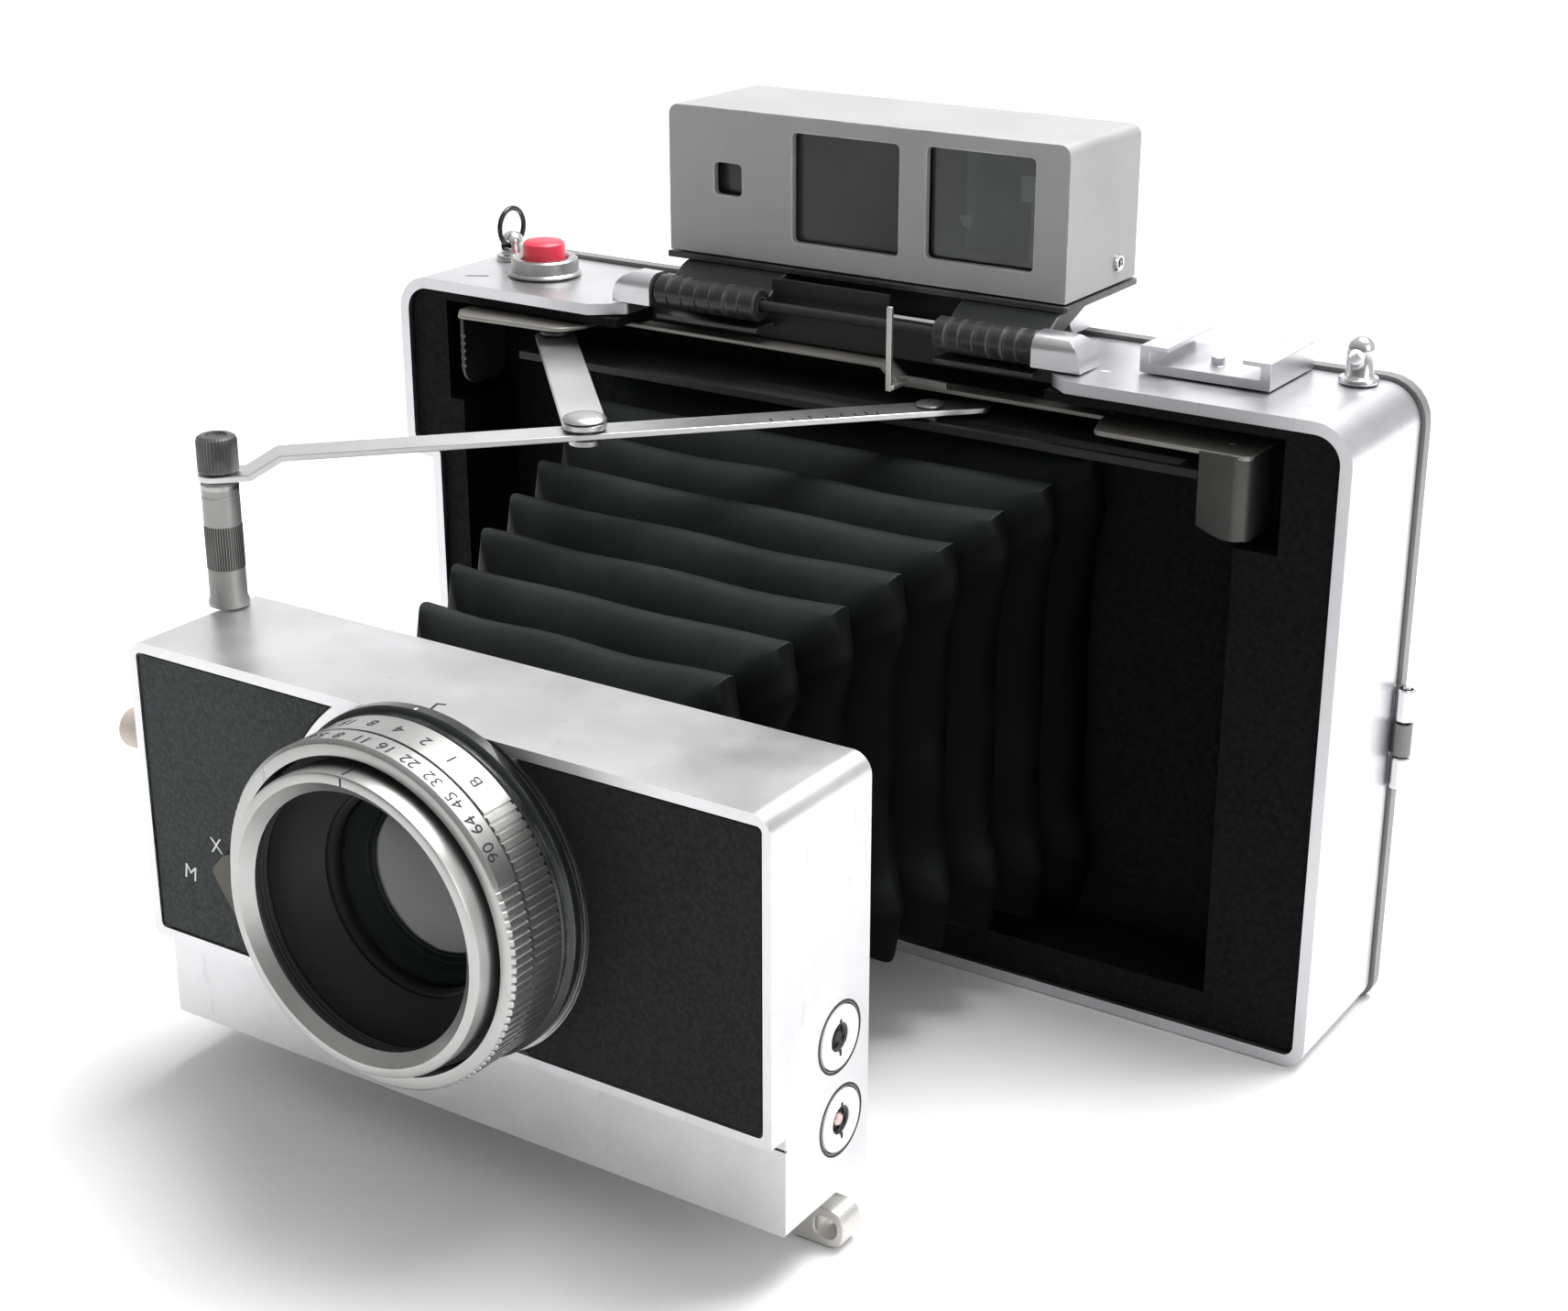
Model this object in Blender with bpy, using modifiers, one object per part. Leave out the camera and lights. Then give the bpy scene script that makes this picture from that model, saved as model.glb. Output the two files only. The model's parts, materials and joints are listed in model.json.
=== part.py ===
"""Folding bellows instant camera with a flip-up finder, modelled open and ready for use.

Metres, +Z up.  X runs across the camera, -Y is the way the lens looks.
The origin is the middle of the flat bottom of the housing.
"""
import math

import bmesh
import bpy
from mathutils import Matrix, Vector

MM = 0.001

# Housing
HALF_WIDTH = 93.0
HEIGHT = 108.3
FRONT = -14.1
BACK = 14.1
WALL = 2.0
TOP_RADIUS = 6.5
BOTTOM_RADIUS = 3.8
NOTCH_DEPTH = 6.0
NOTCH_TOP = 74.0
FIT = 0.3
POCKET_BACK = 1.9
PANEL_BACK = 3.4

# Erecting linkage: two arms of the same length that carry the standard straight out
ARM = 57.5
REST_ANGLE = 47.2
LINK_PIVOT = (-59.8, -10.1)
STRUT_LOW = 98.2
STRUT_HIGH = 99.2
LINK_LOW = 99.6
LINK_HIGH = 100.6
STRUT_WIDTH = 6.2
LINK_WIDTH = 7.1
STRUT_TAIL = 10.0

# Front standard and lens
STANDARD_X = (-62.0, 56.0)
STANDARD_Z = (8.8, 74.5)
STANDARD_BACK = -89.1
STANDARD_FRONT = -110.6
BEZEL_FRONT = -114.1
BEZEL_LOW = 24.5
LENS_X = -2.5
LENS_Z = 49.7
PANEL_CLEAR_RADIUS = 29.3
KNOB_AT = (-62.0, -109.8, 57.5)

# Finder
FINDER_AXIS = (-7.1, 110.9)
BARREL_RADIUS = 2.9
HINGE_PIN_RADIUS = 0.9
FINDER_X = (-41.8, 36.8)
FINDER_Y = (0.9, 26.3)
FINDER_Z = (116.4, 142.0)
FINDER_WINDOWS = {
    "finder_window_small": (-32.2, -26.5, 127.1, 132.7),
    "finder_window_middle": (-16.0, 5.1, 120.5, 139.2),
    "finder_window_large": (10.4, 30.6, 120.9, 139.4),
}

# Film side
ROLLER_X = -78.0
ROLLER_Y = (9.5, 17.2)
ROLLER_RADIUS = 3.6
DOOR_AXIS = (94.8, 14.35)
DOOR_LEVEL = 49.0
KNUCKLE_RADIUS = 1.5
KNUCKLE_LENGTH = 5.6
KNUCKLE_LEVELS = (DOOR_LEVEL - KNUCKLE_LENGTH - 0.4, DOOR_LEVEL + KNUCKLE_LENGTH + 0.4)
RELEASE_AT = (-69.8, 0.0)
TRIPOD_AT = (30.0, 10.1)
SHOE_X = (52.6, 74.8)
LUG_LEFT_AT = (-83.1, 7.1)
LUG_RIGHT_AT = (83.8, 10.1)
LUG_EYE_RADIUS = 1.25
RING_EYE_UP = 2.9

parts = bpy.data.collections.new("folding_instant_camera")
cutters = bpy.data.collections.new("cutters")


# ---------------------------------------------------------------- tools

def clear_scene():
    for old in list(bpy.data.objects):
        bpy.data.objects.remove(old, do_unlink=True)
    bpy.context.scene.collection.children.link(parts)
    bpy.context.scene.collection.children.link(cutters)


def material(name, colour, roughness, metallic=0.0):
    mat = bpy.data.materials.new(name)
    mat.use_nodes = True
    shader = mat.node_tree.nodes["Principled BSDF"]
    shader.inputs["Base Color"].default_value = (*colour, 1.0)
    shader.inputs["Roughness"].default_value = roughness
    shader.inputs["Metallic"].default_value = metallic
    mat.diffuse_color = (*colour, 1.0)
    return mat


def put(obj, collection):
    for owner in list(obj.users_collection):
        owner.objects.unlink(obj)
    collection.objects.link(obj)


def finish(obj, name, look=None):
    """Name an object and file it with the parts, or with the cutters when it has no look."""
    obj.name = name
    obj.data.name = name
    if look is None:
        put(obj, cutters)
        obj.hide_render = True
        obj.display_type = "WIRE"
    else:
        put(obj, parts)
        obj.data.materials.clear()
        obj.data.materials.append(look)
    return obj


def smooth(obj, degrees=32.0):
    obj.data.shade_smooth()
    obj.data.set_sharp_from_angle(angle=math.radians(degrees))
    return obj


def box(name, x, y, z, look=None):
    """A box between two limits along each axis, in millimetres."""
    bpy.ops.mesh.primitive_cube_add(size=1.0)
    obj = bpy.context.object
    low = Vector((x[0], y[0], z[0])) * MM
    high = Vector((x[1], y[1], z[1])) * MM
    size = high - low
    obj.data.transform(Matrix.Diagonal((*size, 1.0)))
    obj.location = (low + high) / 2
    return finish(obj, name, look)


TURN = {"X": (0.0, math.pi / 2, 0.0), "Y": (math.pi / 2, 0.0, 0.0), "Z": (0.0, 0.0, 0.0)}


def rod(name, centre, radius, length, axis, look=None, sides=24):
    """A straight cylinder about its middle point."""
    bpy.ops.mesh.primitive_cylinder_add(vertices=sides, radius=radius * MM, depth=length * MM)
    obj = bpy.context.object
    obj.rotation_euler = TURN[axis]
    obj.location = Vector(centre) * MM
    finish(obj, name, look)
    return smooth(obj)


def turned(name, profile, origin, axis, look=None, steps=48):
    """A turned piece.  The profile is (radius, height), down the outside and up the inside.

    Height runs along +X, -Y or +Z for the axes X, Y and Z.
    """
    mesh = bpy.data.meshes.new(name)
    build = bmesh.new()
    verts = [build.verts.new((radius * MM, 0.0, height * MM)) for radius, height in profile]
    closed = profile[0][0] > 0.0
    for a, b in zip(verts, verts[1:]):
        build.edges.new((a, b))
    if closed:
        build.edges.new((verts[-1], verts[0]))
    build.to_mesh(mesh)
    build.free()
    obj = bpy.data.objects.new(name, mesh)
    parts.objects.link(obj)
    screw = obj.modifiers.new("turn", "SCREW")
    screw.steps = steps
    screw.render_steps = steps
    screw.use_merge_vertices = True
    screw.merge_threshold = 0.00001
    screw.use_smooth_shade = True
    obj.rotation_euler = TURN[axis]
    obj.location = Vector(origin) * MM
    return finish(obj, name, look)


def rounded(corners, segments=6):
    """Outline points from corners given as (a, b, radius)."""
    points = []
    count = len(corners)
    for index, (px, py, radius) in enumerate(corners):
        here = Vector((px, py))
        if radius <= 0.0:
            points.append((px, py))
            continue
        before = Vector(corners[index - 1][:2]) - here
        after = Vector(corners[(index + 1) % count][:2]) - here
        before.normalize()
        after.normalize()
        half = before.angle(after) / 2
        centre = here + (before + after).normalized() * radius / math.sin(half)
        start = here + before * radius / math.tan(half) - centre
        end = here + after * radius / math.tan(half) - centre
        sweep = start.angle_signed(end)
        for step in range(segments + 1):
            spoke = start.copy()
            spoke.rotate(Matrix.Rotation(-sweep * step / segments, 2))
            points.append(tuple(centre + spoke))
    return points


def extruded(name, outlines, low, high, axis, look=None):
    """Flat outlines, the first one solid and the rest holes, made thick along one axis.

    Outline points are (x, y) for axis Z, (x, z) for axis Y and (y, z) for axis X.
    """
    curve = bpy.data.curves.new(name, "CURVE")
    curve.dimensions = "2D"
    curve.fill_mode = "BOTH"
    curve.extrude = (high - low) / 2 * MM
    for outline in outlines:
        spline = curve.splines.new("POLY")
        spline.points.add(len(outline) - 1)
        for point, (a, b) in zip(spline.points, outline):
            point.co = (a * MM, b * MM, 0.0, 1.0)
        spline.use_cyclic_u = True
    holder = bpy.data.objects.new(name + "_outline", curve)
    parts.objects.link(holder)
    graph = bpy.context.evaluated_depsgraph_get()
    mesh = bpy.data.meshes.new_from_object(holder.evaluated_get(graph))
    bpy.data.objects.remove(holder)
    build = bmesh.new()
    build.from_mesh(mesh)
    bmesh.ops.remove_doubles(build, verts=build.verts, dist=0.00001)
    turn = {
        "Z": Matrix.Identity(4),
        "Y": Matrix(((1, 0, 0, 0), (0, 0, -1, 0), (0, 1, 0, 0), (0, 0, 0, 1))),
        "X": Matrix(((0, 0, 1, 0), (1, 0, 0, 0), (0, 1, 0, 0), (0, 0, 0, 1))),
    }[axis]
    bmesh.ops.transform(build, matrix=turn, verts=build.verts)
    bmesh.ops.recalc_face_normals(build, faces=build.faces)
    build.to_mesh(mesh)
    build.free()
    obj = bpy.data.objects.new(name, mesh)
    parts.objects.link(obj)
    middle = (low + high) / 2 * MM
    obj.location = {"Z": (0, 0, middle), "Y": (0, middle, 0), "X": (middle, 0, 0)}[axis]
    finish(obj, name, look)
    return smooth(obj)


def wire(name, points, radius, look, cyclic=False, resolution=2):
    """A round wire along points given in millimetres."""
    curve = bpy.data.curves.new(name, "CURVE")
    curve.dimensions = "3D"
    curve.bevel_depth = radius * MM
    curve.bevel_resolution = resolution
    curve.use_fill_caps = not cyclic
    curve.render_resolution_u = 0
    spline = curve.splines.new("POLY")
    spline.points.add(len(points) - 1)
    for point, at in zip(spline.points, points):
        point.co = (*(Vector(at) * MM), 1.0)
    spline.use_cyclic_u = cyclic
    obj = bpy.data.objects.new(name, curve)
    parts.objects.link(obj)
    return finish(obj, name, look)


def boolean(target, tool, operation):
    step = target.modifiers.new(tool.name, "BOOLEAN")
    step.operation = operation
    step.object = tool
    return target


def cut(target, *tools):
    for tool in tools:
        boolean(target, tool, "DIFFERENCE")
    return target


def join(target, *tools):
    for tool in tools:
        boolean(target, tool, "UNION")
    return target


def bevel(obj, width, segments=2, angle=40.0):
    step = obj.modifiers.new("edge", "BEVEL")
    step.width = width * MM
    step.segments = segments
    step.limit_method = "ANGLE"
    step.angle_limit = math.radians(angle)
    return obj


def pivot(name, at, *members):
    """An empty on a joint's axis that carries the pieces that move with it."""
    holder = bpy.data.objects.new(name, None)
    holder.empty_display_size = 0.01
    holder.location = Vector(at) * MM
    parts.objects.link(holder)
    for member in members:
        member.parent = holder
        member.matrix_parent_inverse = Matrix.Translation(-holder.location)
    return holder


def carry(child, parent, at):
    """Hang one joint's empty under another."""
    child.parent = parent
    child.matrix_parent_inverse = Matrix.Translation(-Vector(at) * MM)


def along(start, angle, distance):
    """A point in plan, at a distance from another along an angle in degrees."""
    turn = math.radians(angle)
    return (start[0] + distance * math.cos(turn), start[1] + distance * math.sin(turn))


# ---------------------------------------------------------------- materials

LOOKS = {
    "aluminium": material("aluminium", (0.72, 0.72, 0.73), 0.35, 1.0),
    "satin_grey": material("satin_grey", (0.45, 0.45, 0.44), 0.5, 0.6),
    "bright_steel": material("bright_steel", (0.82, 0.82, 0.82), 0.2, 1.0),
    "black_metal": material("black_metal", (0.02, 0.02, 0.022), 0.45, 0.3),
    "leatherette": material("leatherette", (0.025, 0.027, 0.027), 0.7),
    "bellows_cloth": material("bellows_cloth", (0.03, 0.036, 0.034), 0.6),
    "dark_plastic": material("dark_plastic", (0.06, 0.06, 0.065), 0.5),
    "red_plastic": material("red_plastic", (0.7, 0.03, 0.05), 0.4),
    "beige_plastic": material("beige_plastic", (0.62, 0.52, 0.44), 0.5),
    "glass": material("glass", (0.3, 0.32, 0.34), 0.05),
}


# ---------------------------------------------------------------- housing

def body_outline(inset, segments=6):
    """The housing seen from the front, moved inward all round by inset."""
    left = -HALF_WIDTH + inset
    right = HALF_WIDTH - inset
    low = inset
    high = HEIGHT - inset
    step = left + NOTCH_DEPTH
    ledge = NOTCH_TOP + inset
    top = max(TOP_RADIUS - inset, 0.5)
    bottom = max(BOTTOM_RADIUS - inset, 0.5)
    corners = [
        (step, low, bottom), (right, low, bottom), (right, high, top), (left, high, top),
        (left, ledge, max(4.6 - inset, 0.5)), (step, ledge, min(0.4 + inset, 1.2)),
    ]
    return rounded(corners, segments)


def housing():
    shell = extruded("housing_shell", [body_outline(0.0), body_outline(WALL)], FRONT, BACK, "Y",
                     LOOKS["aluminium"])
    hinge_gap = box("hinge_gap", (-43.7, 40.8), (FRONT - 1, -2.0), (102.0, 112.0))
    film_exit = box("film_exit", (-90.0, -83.0), (11.5, 16.0), (10.0, 68.0))
    release_hole = rod("release_hole", (*RELEASE_AT, 107.0), 2.2, 8.0, "Z")
    tripod_hole = rod("tripod_hole", (*TRIPOD_AT, 1.0), 4.0, 6.0, "Z")
    cut(shell, hinge_gap, film_exit, release_hole, tripod_hole)

    panel = extruded("front_panel", [body_outline(WALL + FIT, 4)], FRONT + 1.0, PANEL_BACK, "Y",
                     LOOKS["leatherette"])
    pocket = box("panel_pocket", (-79.5, 74.5), (-20.0, POCKET_BACK), (8.5, 90.0))
    slider_bay = box("slider_bay", (-82.6, 81.8), (-20.0, POCKET_BACK), (86.0, 104.5))
    hinge_bay = box("hinge_bay", (-43.7, 40.8), (-20.0, POCKET_BACK), (100.0, 112.0))
    window = box("bellows_window", (-46.0, 41.0), (-20.0, 8.0), (19.0, 88.0))
    stem_way = rod("stem_way", (*RELEASE_AT, 105.0), 2.2, 8.0, "Z")
    cut(panel, pocket, slider_bay, hinge_bay, window, stem_way)

    gate = box("film_gate", (-70.5, 88.0), (4.2, 5.7), (2.6, 105.4), LOOKS["black_metal"])
    picture = box("picture_window", (-50.0, 45.0), (0.0, 9.0), (15.0, 88.0))
    cut(gate, picture)

    turned("tripod_socket", [(3.7, 6.5), (3.7, 0.2), (3.1, 0.2), (3.1, 6.5)], (*TRIPOD_AT, 0.0), "Z",
           LOOKS["bright_steel"], 24)


def bellows_ring(share, pleat):
    """One ring of the bellows: share runs from 0 at the housing to 1 at the standard."""
    back_box = (-54.0, 49.0, 12.0, 95.0)
    front_box = (-30.0, 28.0, 24.0, 76.0)
    low_x, high_x, low_z, high_z = [a + (b - a) * share for a, b in zip(back_box, front_box)]
    side = 1.6 + pleat
    drop = 8.0 if pleat == 0.0 else 5.5
    low_x, high_x = low_x + pleat, high_x - pleat
    low_z, high_z = low_z + pleat, high_z - pleat
    return [
        (low_x + side - pleat, low_z), (high_x - side + pleat, low_z),
        (high_x, low_z + drop), (high_x, high_z - drop),
        (high_x - side + pleat, high_z), (low_x + side - pleat, high_z),
        (low_x, high_z - drop), (low_x, low_z + drop),
    ]


def bellows():
    """A pleated square tube, lofted through outer and inner rings."""
    pleats = 8
    rings = pleats * 2 + 1
    back = POCKET_BACK - 0.4
    front = STANDARD_BACK + 0.4
    depth = 5.5
    wall = 0.9
    mesh = bpy.data.meshes.new("bellows")
    build = bmesh.new()
    skins = []
    for inward in (0.0, wall):
        skin = []
        for index in range(rings):
            share = index / (rings - 1)
            y = back + (front - back) * share
            pleat = depth if index % 2 == 0 else 0.0
            ring = bellows_ring(share, pleat + inward)
            skin.append([build.verts.new((x * MM, y * MM, z * MM)) for x, z in ring])
        skins.append(skin)
    for skin in skins:
        for one, two in zip(skin, skin[1:]):
            for k in range(8):
                build.faces.new((one[k], one[(k + 1) % 8], two[(k + 1) % 8], two[k]))
    for end in (0, -1):
        outer, inner = skins[0][end], skins[1][end]
        for k in range(8):
            build.faces.new((outer[k], outer[(k + 1) % 8], inner[(k + 1) % 8], inner[k]))
    bmesh.ops.recalc_face_normals(build, faces=build.faces)
    build.to_mesh(mesh)
    build.free()
    obj = bpy.data.objects.new("bellows", mesh)
    parts.objects.link(obj)
    return finish(obj, "bellows", LOOKS["bellows_cloth"])


def lug(name, x, y, tall, eye_up):
    """A strap post: a flange, a neck and a rounded top with an eye through it from front to back."""
    profile = [(0.0, tall), (1.5, tall - 0.4), (2.2, tall - 1.6), (2.2, 1.2), (3.2, 1.0), (3.2, FIT), (0.0, FIT)]
    post = turned(name, profile, (x, y, HEIGHT), "Z", LOOKS["bright_steel"], 20)
    eye = rod(name + "_eye", (x, y, HEIGHT + eye_up), LUG_EYE_RADIUS, 8.0, "Y", None, 16)
    return cut(post, eye)


def strap_ring():
    """A wire ring through the left lug's eye, standing up."""
    x, y = LUG_LEFT_AT
    radius = 3.5
    low = HEIGHT + RING_EYE_UP - 0.25
    points = []
    for step in range(20):
        turn = math.tau * step / 20
        points.append((x, y + radius * math.sin(turn), low + radius - radius * math.cos(turn)))
    ring = wire("strap_ring", points, 0.5, LOOKS["black_metal"], cyclic=True)
    pivot("strap_ring_axis", (x, y, low), ring)


def top_fittings():
    lug("lug_right", *LUG_RIGHT_AT, 7.6, 4.6)
    lug("lug_left", *LUG_LEFT_AT, RING_EYE_UP + 2.6, RING_EYE_UP)
    strap_ring()

    left, right = SHOE_X
    top = HEIGHT + 4.7
    shoe = box("accessory_shoe", SHOE_X, (-3.6, 13.9), (HEIGHT + FIT, top), LOOKS["satin_grey"])
    slot = box("shoe_slot", (left + 1.75, right - 1.75), (-8.0, 20.0), (HEIGHT + 1.9, HEIGHT + 4.0))
    mouth = box("shoe_mouth", (left + 4.8, right - 4.8), (-8.0, 20.0), (HEIGHT + 3.0, top + 2.0))
    cut(shoe, slot, mouth)
    stud = rod("shoe_stud", ((left + right) / 2, 1.6, HEIGHT + 2.4), 1.1, 1.8, "Z", None, 16)
    join(shoe, stud)

    turned("release_collar", [(6.2, 3.4), (6.2, 1.2), (7.0, FIT), (4.3, FIT), (4.3, 3.4)],
           (*RELEASE_AT, HEIGHT), "Z", LOOKS["bright_steel"], 32)
    button = turned("release_button", [(0.0, 6.6), (3.2, 6.6), (3.9, 6.0), (3.9, 2.8), (1.6, 2.8),
                                       (1.6, -3.2), (0.0, -3.2)],
                    (*RELEASE_AT, HEIGHT), "Z", LOOKS["red_plastic"], 24)
    pivot("release_axis", (*RELEASE_AT, HEIGHT), button)


# ---------------------------------------------------------------- film door and rollers

def film_side():
    frame = extruded("roller_frame", [[(4.2, 8.0), (21.0, 8.0), (21.0, 9.5), (5.2, 9.5), (5.2, 68.5),
                                       (21.0, 68.5), (21.0, 70.0), (4.2, 70.0)]],
                     -82.4, -72.0, "X", LOOKS["bright_steel"])
    for number, y in enumerate(ROLLER_Y):
        cut(frame, rod(f"journal_hole_{number}", (ROLLER_X, y, 39.0), 1.85, 80.0, "Z", None, 20))
        half = 28.0
        roller = turned(f"roller_{'front' if number == 0 else 'rear'}",
                        [(0.0, half + 1.9), (1.5, half + 1.9), (1.5, half), (ROLLER_RADIUS, half),
                         (ROLLER_RADIUS, -half), (1.5, -half), (1.5, -half - 1.9), (0.0, -half - 1.9)],
                        (ROLLER_X, y, 39.0), "Z", LOOKS["bright_steel"], 24)
        pivot(f"roller_axis_{number}", (ROLLER_X, y, 39.0), roller)

    x, y = DOOR_AXIS
    frame_door = extruded("door_frame", [body_outline(-0.7)], BACK + 0.5, 17.0, "Y", LOOKS["dark_plastic"])
    opening = box("door_opening", (-83.0, 84.0), (10.0, 20.0), (6.5, 100.5))
    reliefs = [rod(f"door_relief_{z:.0f}", (x, y, z), KNUCKLE_RADIUS + 0.35, KNUCKLE_LENGTH + 0.6, "Z")
               for z in KNUCKLE_LEVELS]
    middle = rod("door_knuckle_middle", (x, y, DOOR_LEVEL), KNUCKLE_RADIUS, KNUCKLE_LENGTH, "Z", None, 20)
    bore = rod("door_knuckle_bore", (x, y, DOOR_LEVEL), 1.05, KNUCKLE_LENGTH + 3.0, "Z", None, 20)
    cut(frame_door, opening, *reliefs)
    join(frame_door, middle)
    cut(frame_door, bore)

    cover = box("door_panel", (-84.5, 86.0), (17.3, 29.9), (4.6, 102.6), LOOKS["dark_plastic"])
    bevel(cover, 2.5, 3)
    hollow = box("door_hollow", (-83.0, 84.5), (10.0, 28.4), (6.1, 101.1))
    cut(cover, hollow)

    spring = extruded("pack_spring", [leaf_outline(76.0, 4.6, 0.6)], 42.0, 62.0, "Z", LOOKS["bright_steel"])
    spring.location.y += 23.2 * MM
    pivot("door_axis", (x, y, DOOR_LEVEL), frame_door, cover, spring)

    half = KNUCKLE_LENGTH / 2
    for name, z in zip(("door_knuckle_low", "door_knuckle_high"), KNUCKLE_LEVELS):
        turned(name, [(KNUCKLE_RADIUS, half), (KNUCKLE_RADIUS, -half), (1.05, -half), (1.05, half)],
               (x, y, z), "Z", LOOKS["dark_plastic"], 20)
    rod("door_hinge_pin", (x, y, DOOR_LEVEL), 0.75, 3 * KNUCKLE_LENGTH + 1.8, "Z",
        LOOKS["bright_steel"], 16)

    latch = box("door_latch", (-95.2, -HALF_WIDTH - FIT), (4.0, 13.0), (82.0, 94.0), LOOKS["satin_grey"])
    bevel(latch, 0.5, 2)
    pivot("latch_axis", (-94.2, 8.5, 88.0), latch)


def leaf_outline(length, rise, thickness):
    """A bowed leaf spring seen from its edge."""
    count = 10
    upper = []
    lower = []
    for step in range(count + 1):
        share = step / count
        x = length * (share - 0.5)
        y = -rise * math.sin(math.pi * share)
        upper.append((x, y + rise + thickness))
        lower.append((x, y + rise))
    return lower + upper[::-1]


# ---------------------------------------------------------------- linkage

def linkage():
    px, py = LINK_PIVOT
    mx, my = along(LINK_PIVOT, -REST_ANGLE, ARM)
    fx, fy = along((mx, my), 180 + REST_ANGLE, ARM)

    rail = box("guide_rail", (-66.0, 70.5), (-13.0, 1.5), (95.9, 97.3), LOOKS["black_metal"])
    slot = box("rail_slot", (10.0, 64.0), (py - 1.7, py + 1.7), (90.0, 99.0))
    seat = rod("pivot_seat", (px, py, 96.5), 1.8, 6.0, "Z", None, 20)
    cut(rail, slot, seat)
    turned("link_pivot_post", [(0.0, 101.8), (2.8, 101.8), (2.8, 100.9), (1.5, 100.9), (1.5, 96.2),
                               (0.0, 96.2)], (px, py, 0.0), "Z", LOOKS["bright_steel"], 24)

    end = LINK_WIDTH / 2
    link = extruded("fold_link", [rounded([(-end, -end, end - 0.01), (ARM + end, -end, end - 0.01),
                                           (ARM + end, end, end - 0.01), (-end, end, end - 0.01)], 6)],
                    LINK_LOW, LINK_HIGH, "Z", LOOKS["aluminium"])
    link.rotation_euler.z = math.radians(-REST_ANGLE)
    link.location.x = px * MM
    link.location.y = py * MM
    cut(link, rod("link_hole", (px, py, 100.0), 1.9, 6.0, "Z", None, 20),
        rod("link_end_hole", (mx, my, 100.0), 1.9, 6.0, "Z", None, 20))
    rivet = turned("link_rivet", [(0.0, 102.0), (3.0, 102.0), (3.6, 101.5), (3.6, 100.9), (1.5, 100.9),
                                  (1.5, 97.8), (2.6, 97.8), (2.6, 97.0), (0.0, 97.0)],
                   (mx, my, 0.0), "Z", LOOKS["bright_steel"], 24)

    lower_end = ARM + 3.3
    low, high = STRUT_LOW, STRUT_HIGH
    side_view = [
        (-lower_end, low - 2.8), (-lower_end + 8.0, low - 2.8), (-lower_end + 13.0, low),
        (ARM + STRUT_TAIL, low), (ARM + STRUT_TAIL, high), (-lower_end + 12.6, high),
        (-lower_end + 7.6, high - 2.8), (-lower_end, high - 2.8),
    ]
    half = STRUT_WIDTH / 2
    strut = extruded("fold_strut", [side_view], -half, half, "Y", LOOKS["aluminium"])
    strut.rotation_euler.z = math.radians(REST_ANGLE)
    strut.location.x = mx * MM
    strut.location.y = my * MM
    sx, sy = along((mx, my), REST_ANGLE, ARM)
    cut(strut, rod("strut_middle_hole", (mx, my, 98.0), 1.9, 6.0, "Z", None, 20),
        rod("strut_pin_hole", (sx, sy, 98.0), 1.65, 6.0, "Z", None, 20),
        rod("strut_post_hole", (fx, fy, 98.0), 1.75, 10.0, "Z", None, 20))
    pin = turned("strut_guide_pin", [(0.0, 99.95), (2.3, 99.95), (2.3, 99.5), (1.3, 99.5), (1.3, 95.4),
                                     (0.0, 95.4)], (sx, sy, 0.0), "Z", LOOKS["bright_steel"], 20)
    link_axis = pivot("link_axis", (px, py, 100.0), link, rivet)
    strut_axis = pivot("strut_axis", (mx, my, 99.0), strut, pin)
    carry(strut_axis, link_axis, (px, py, 100.0))
    return (fx, fy), strut_axis, (mx, my, 99.0)


# ---------------------------------------------------------------- focusing slide

def focusing():
    bar = extruded("focus_bar", [[(-51.0, 103.0), (6.0, 103.0), (9.0, 100.5), (48.0, 100.5), (48.0, 101.3),
                                  (9.4, 101.3), (6.4, 103.8), (-51.0, 103.8)]],
                   -6.1, -2.1, "Y", LOOKS["satin_grey"])
    left = extruded("focus_tab_left", [[(-78.0, 89.5), (-77.0, 89.5), (-77.0, 103.0), (-51.3, 103.0),
                                        (-51.3, 103.8), (-78.0, 103.8)]],
                    -18.5, -3.1, "Y", LOOKS["satin_grey"])
    right = extruded("focus_tab_right", [[(76.0, 87.5), (77.0, 87.5), (77.0, 101.3), (48.3, 101.3),
                                          (48.3, 100.5), (76.0, 100.5)]],
                     -15.0, -4.0, "Y", LOOKS["satin_grey"])
    lever = extruded("rangefinder_lever", [[(-6.0, 101.6), (-6.0, 102.4), (-12.2, 102.4), (-12.2, 115.6),
                                            (-13.0, 115.6), (-13.0, 101.6)]],
                     11.2, 12.8, "X", LOOKS["bright_steel"])
    pivot("focus_axis", (12.0, -8.0, 101.0), bar, left, right, lever)


# ---------------------------------------------------------------- finder

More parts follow.
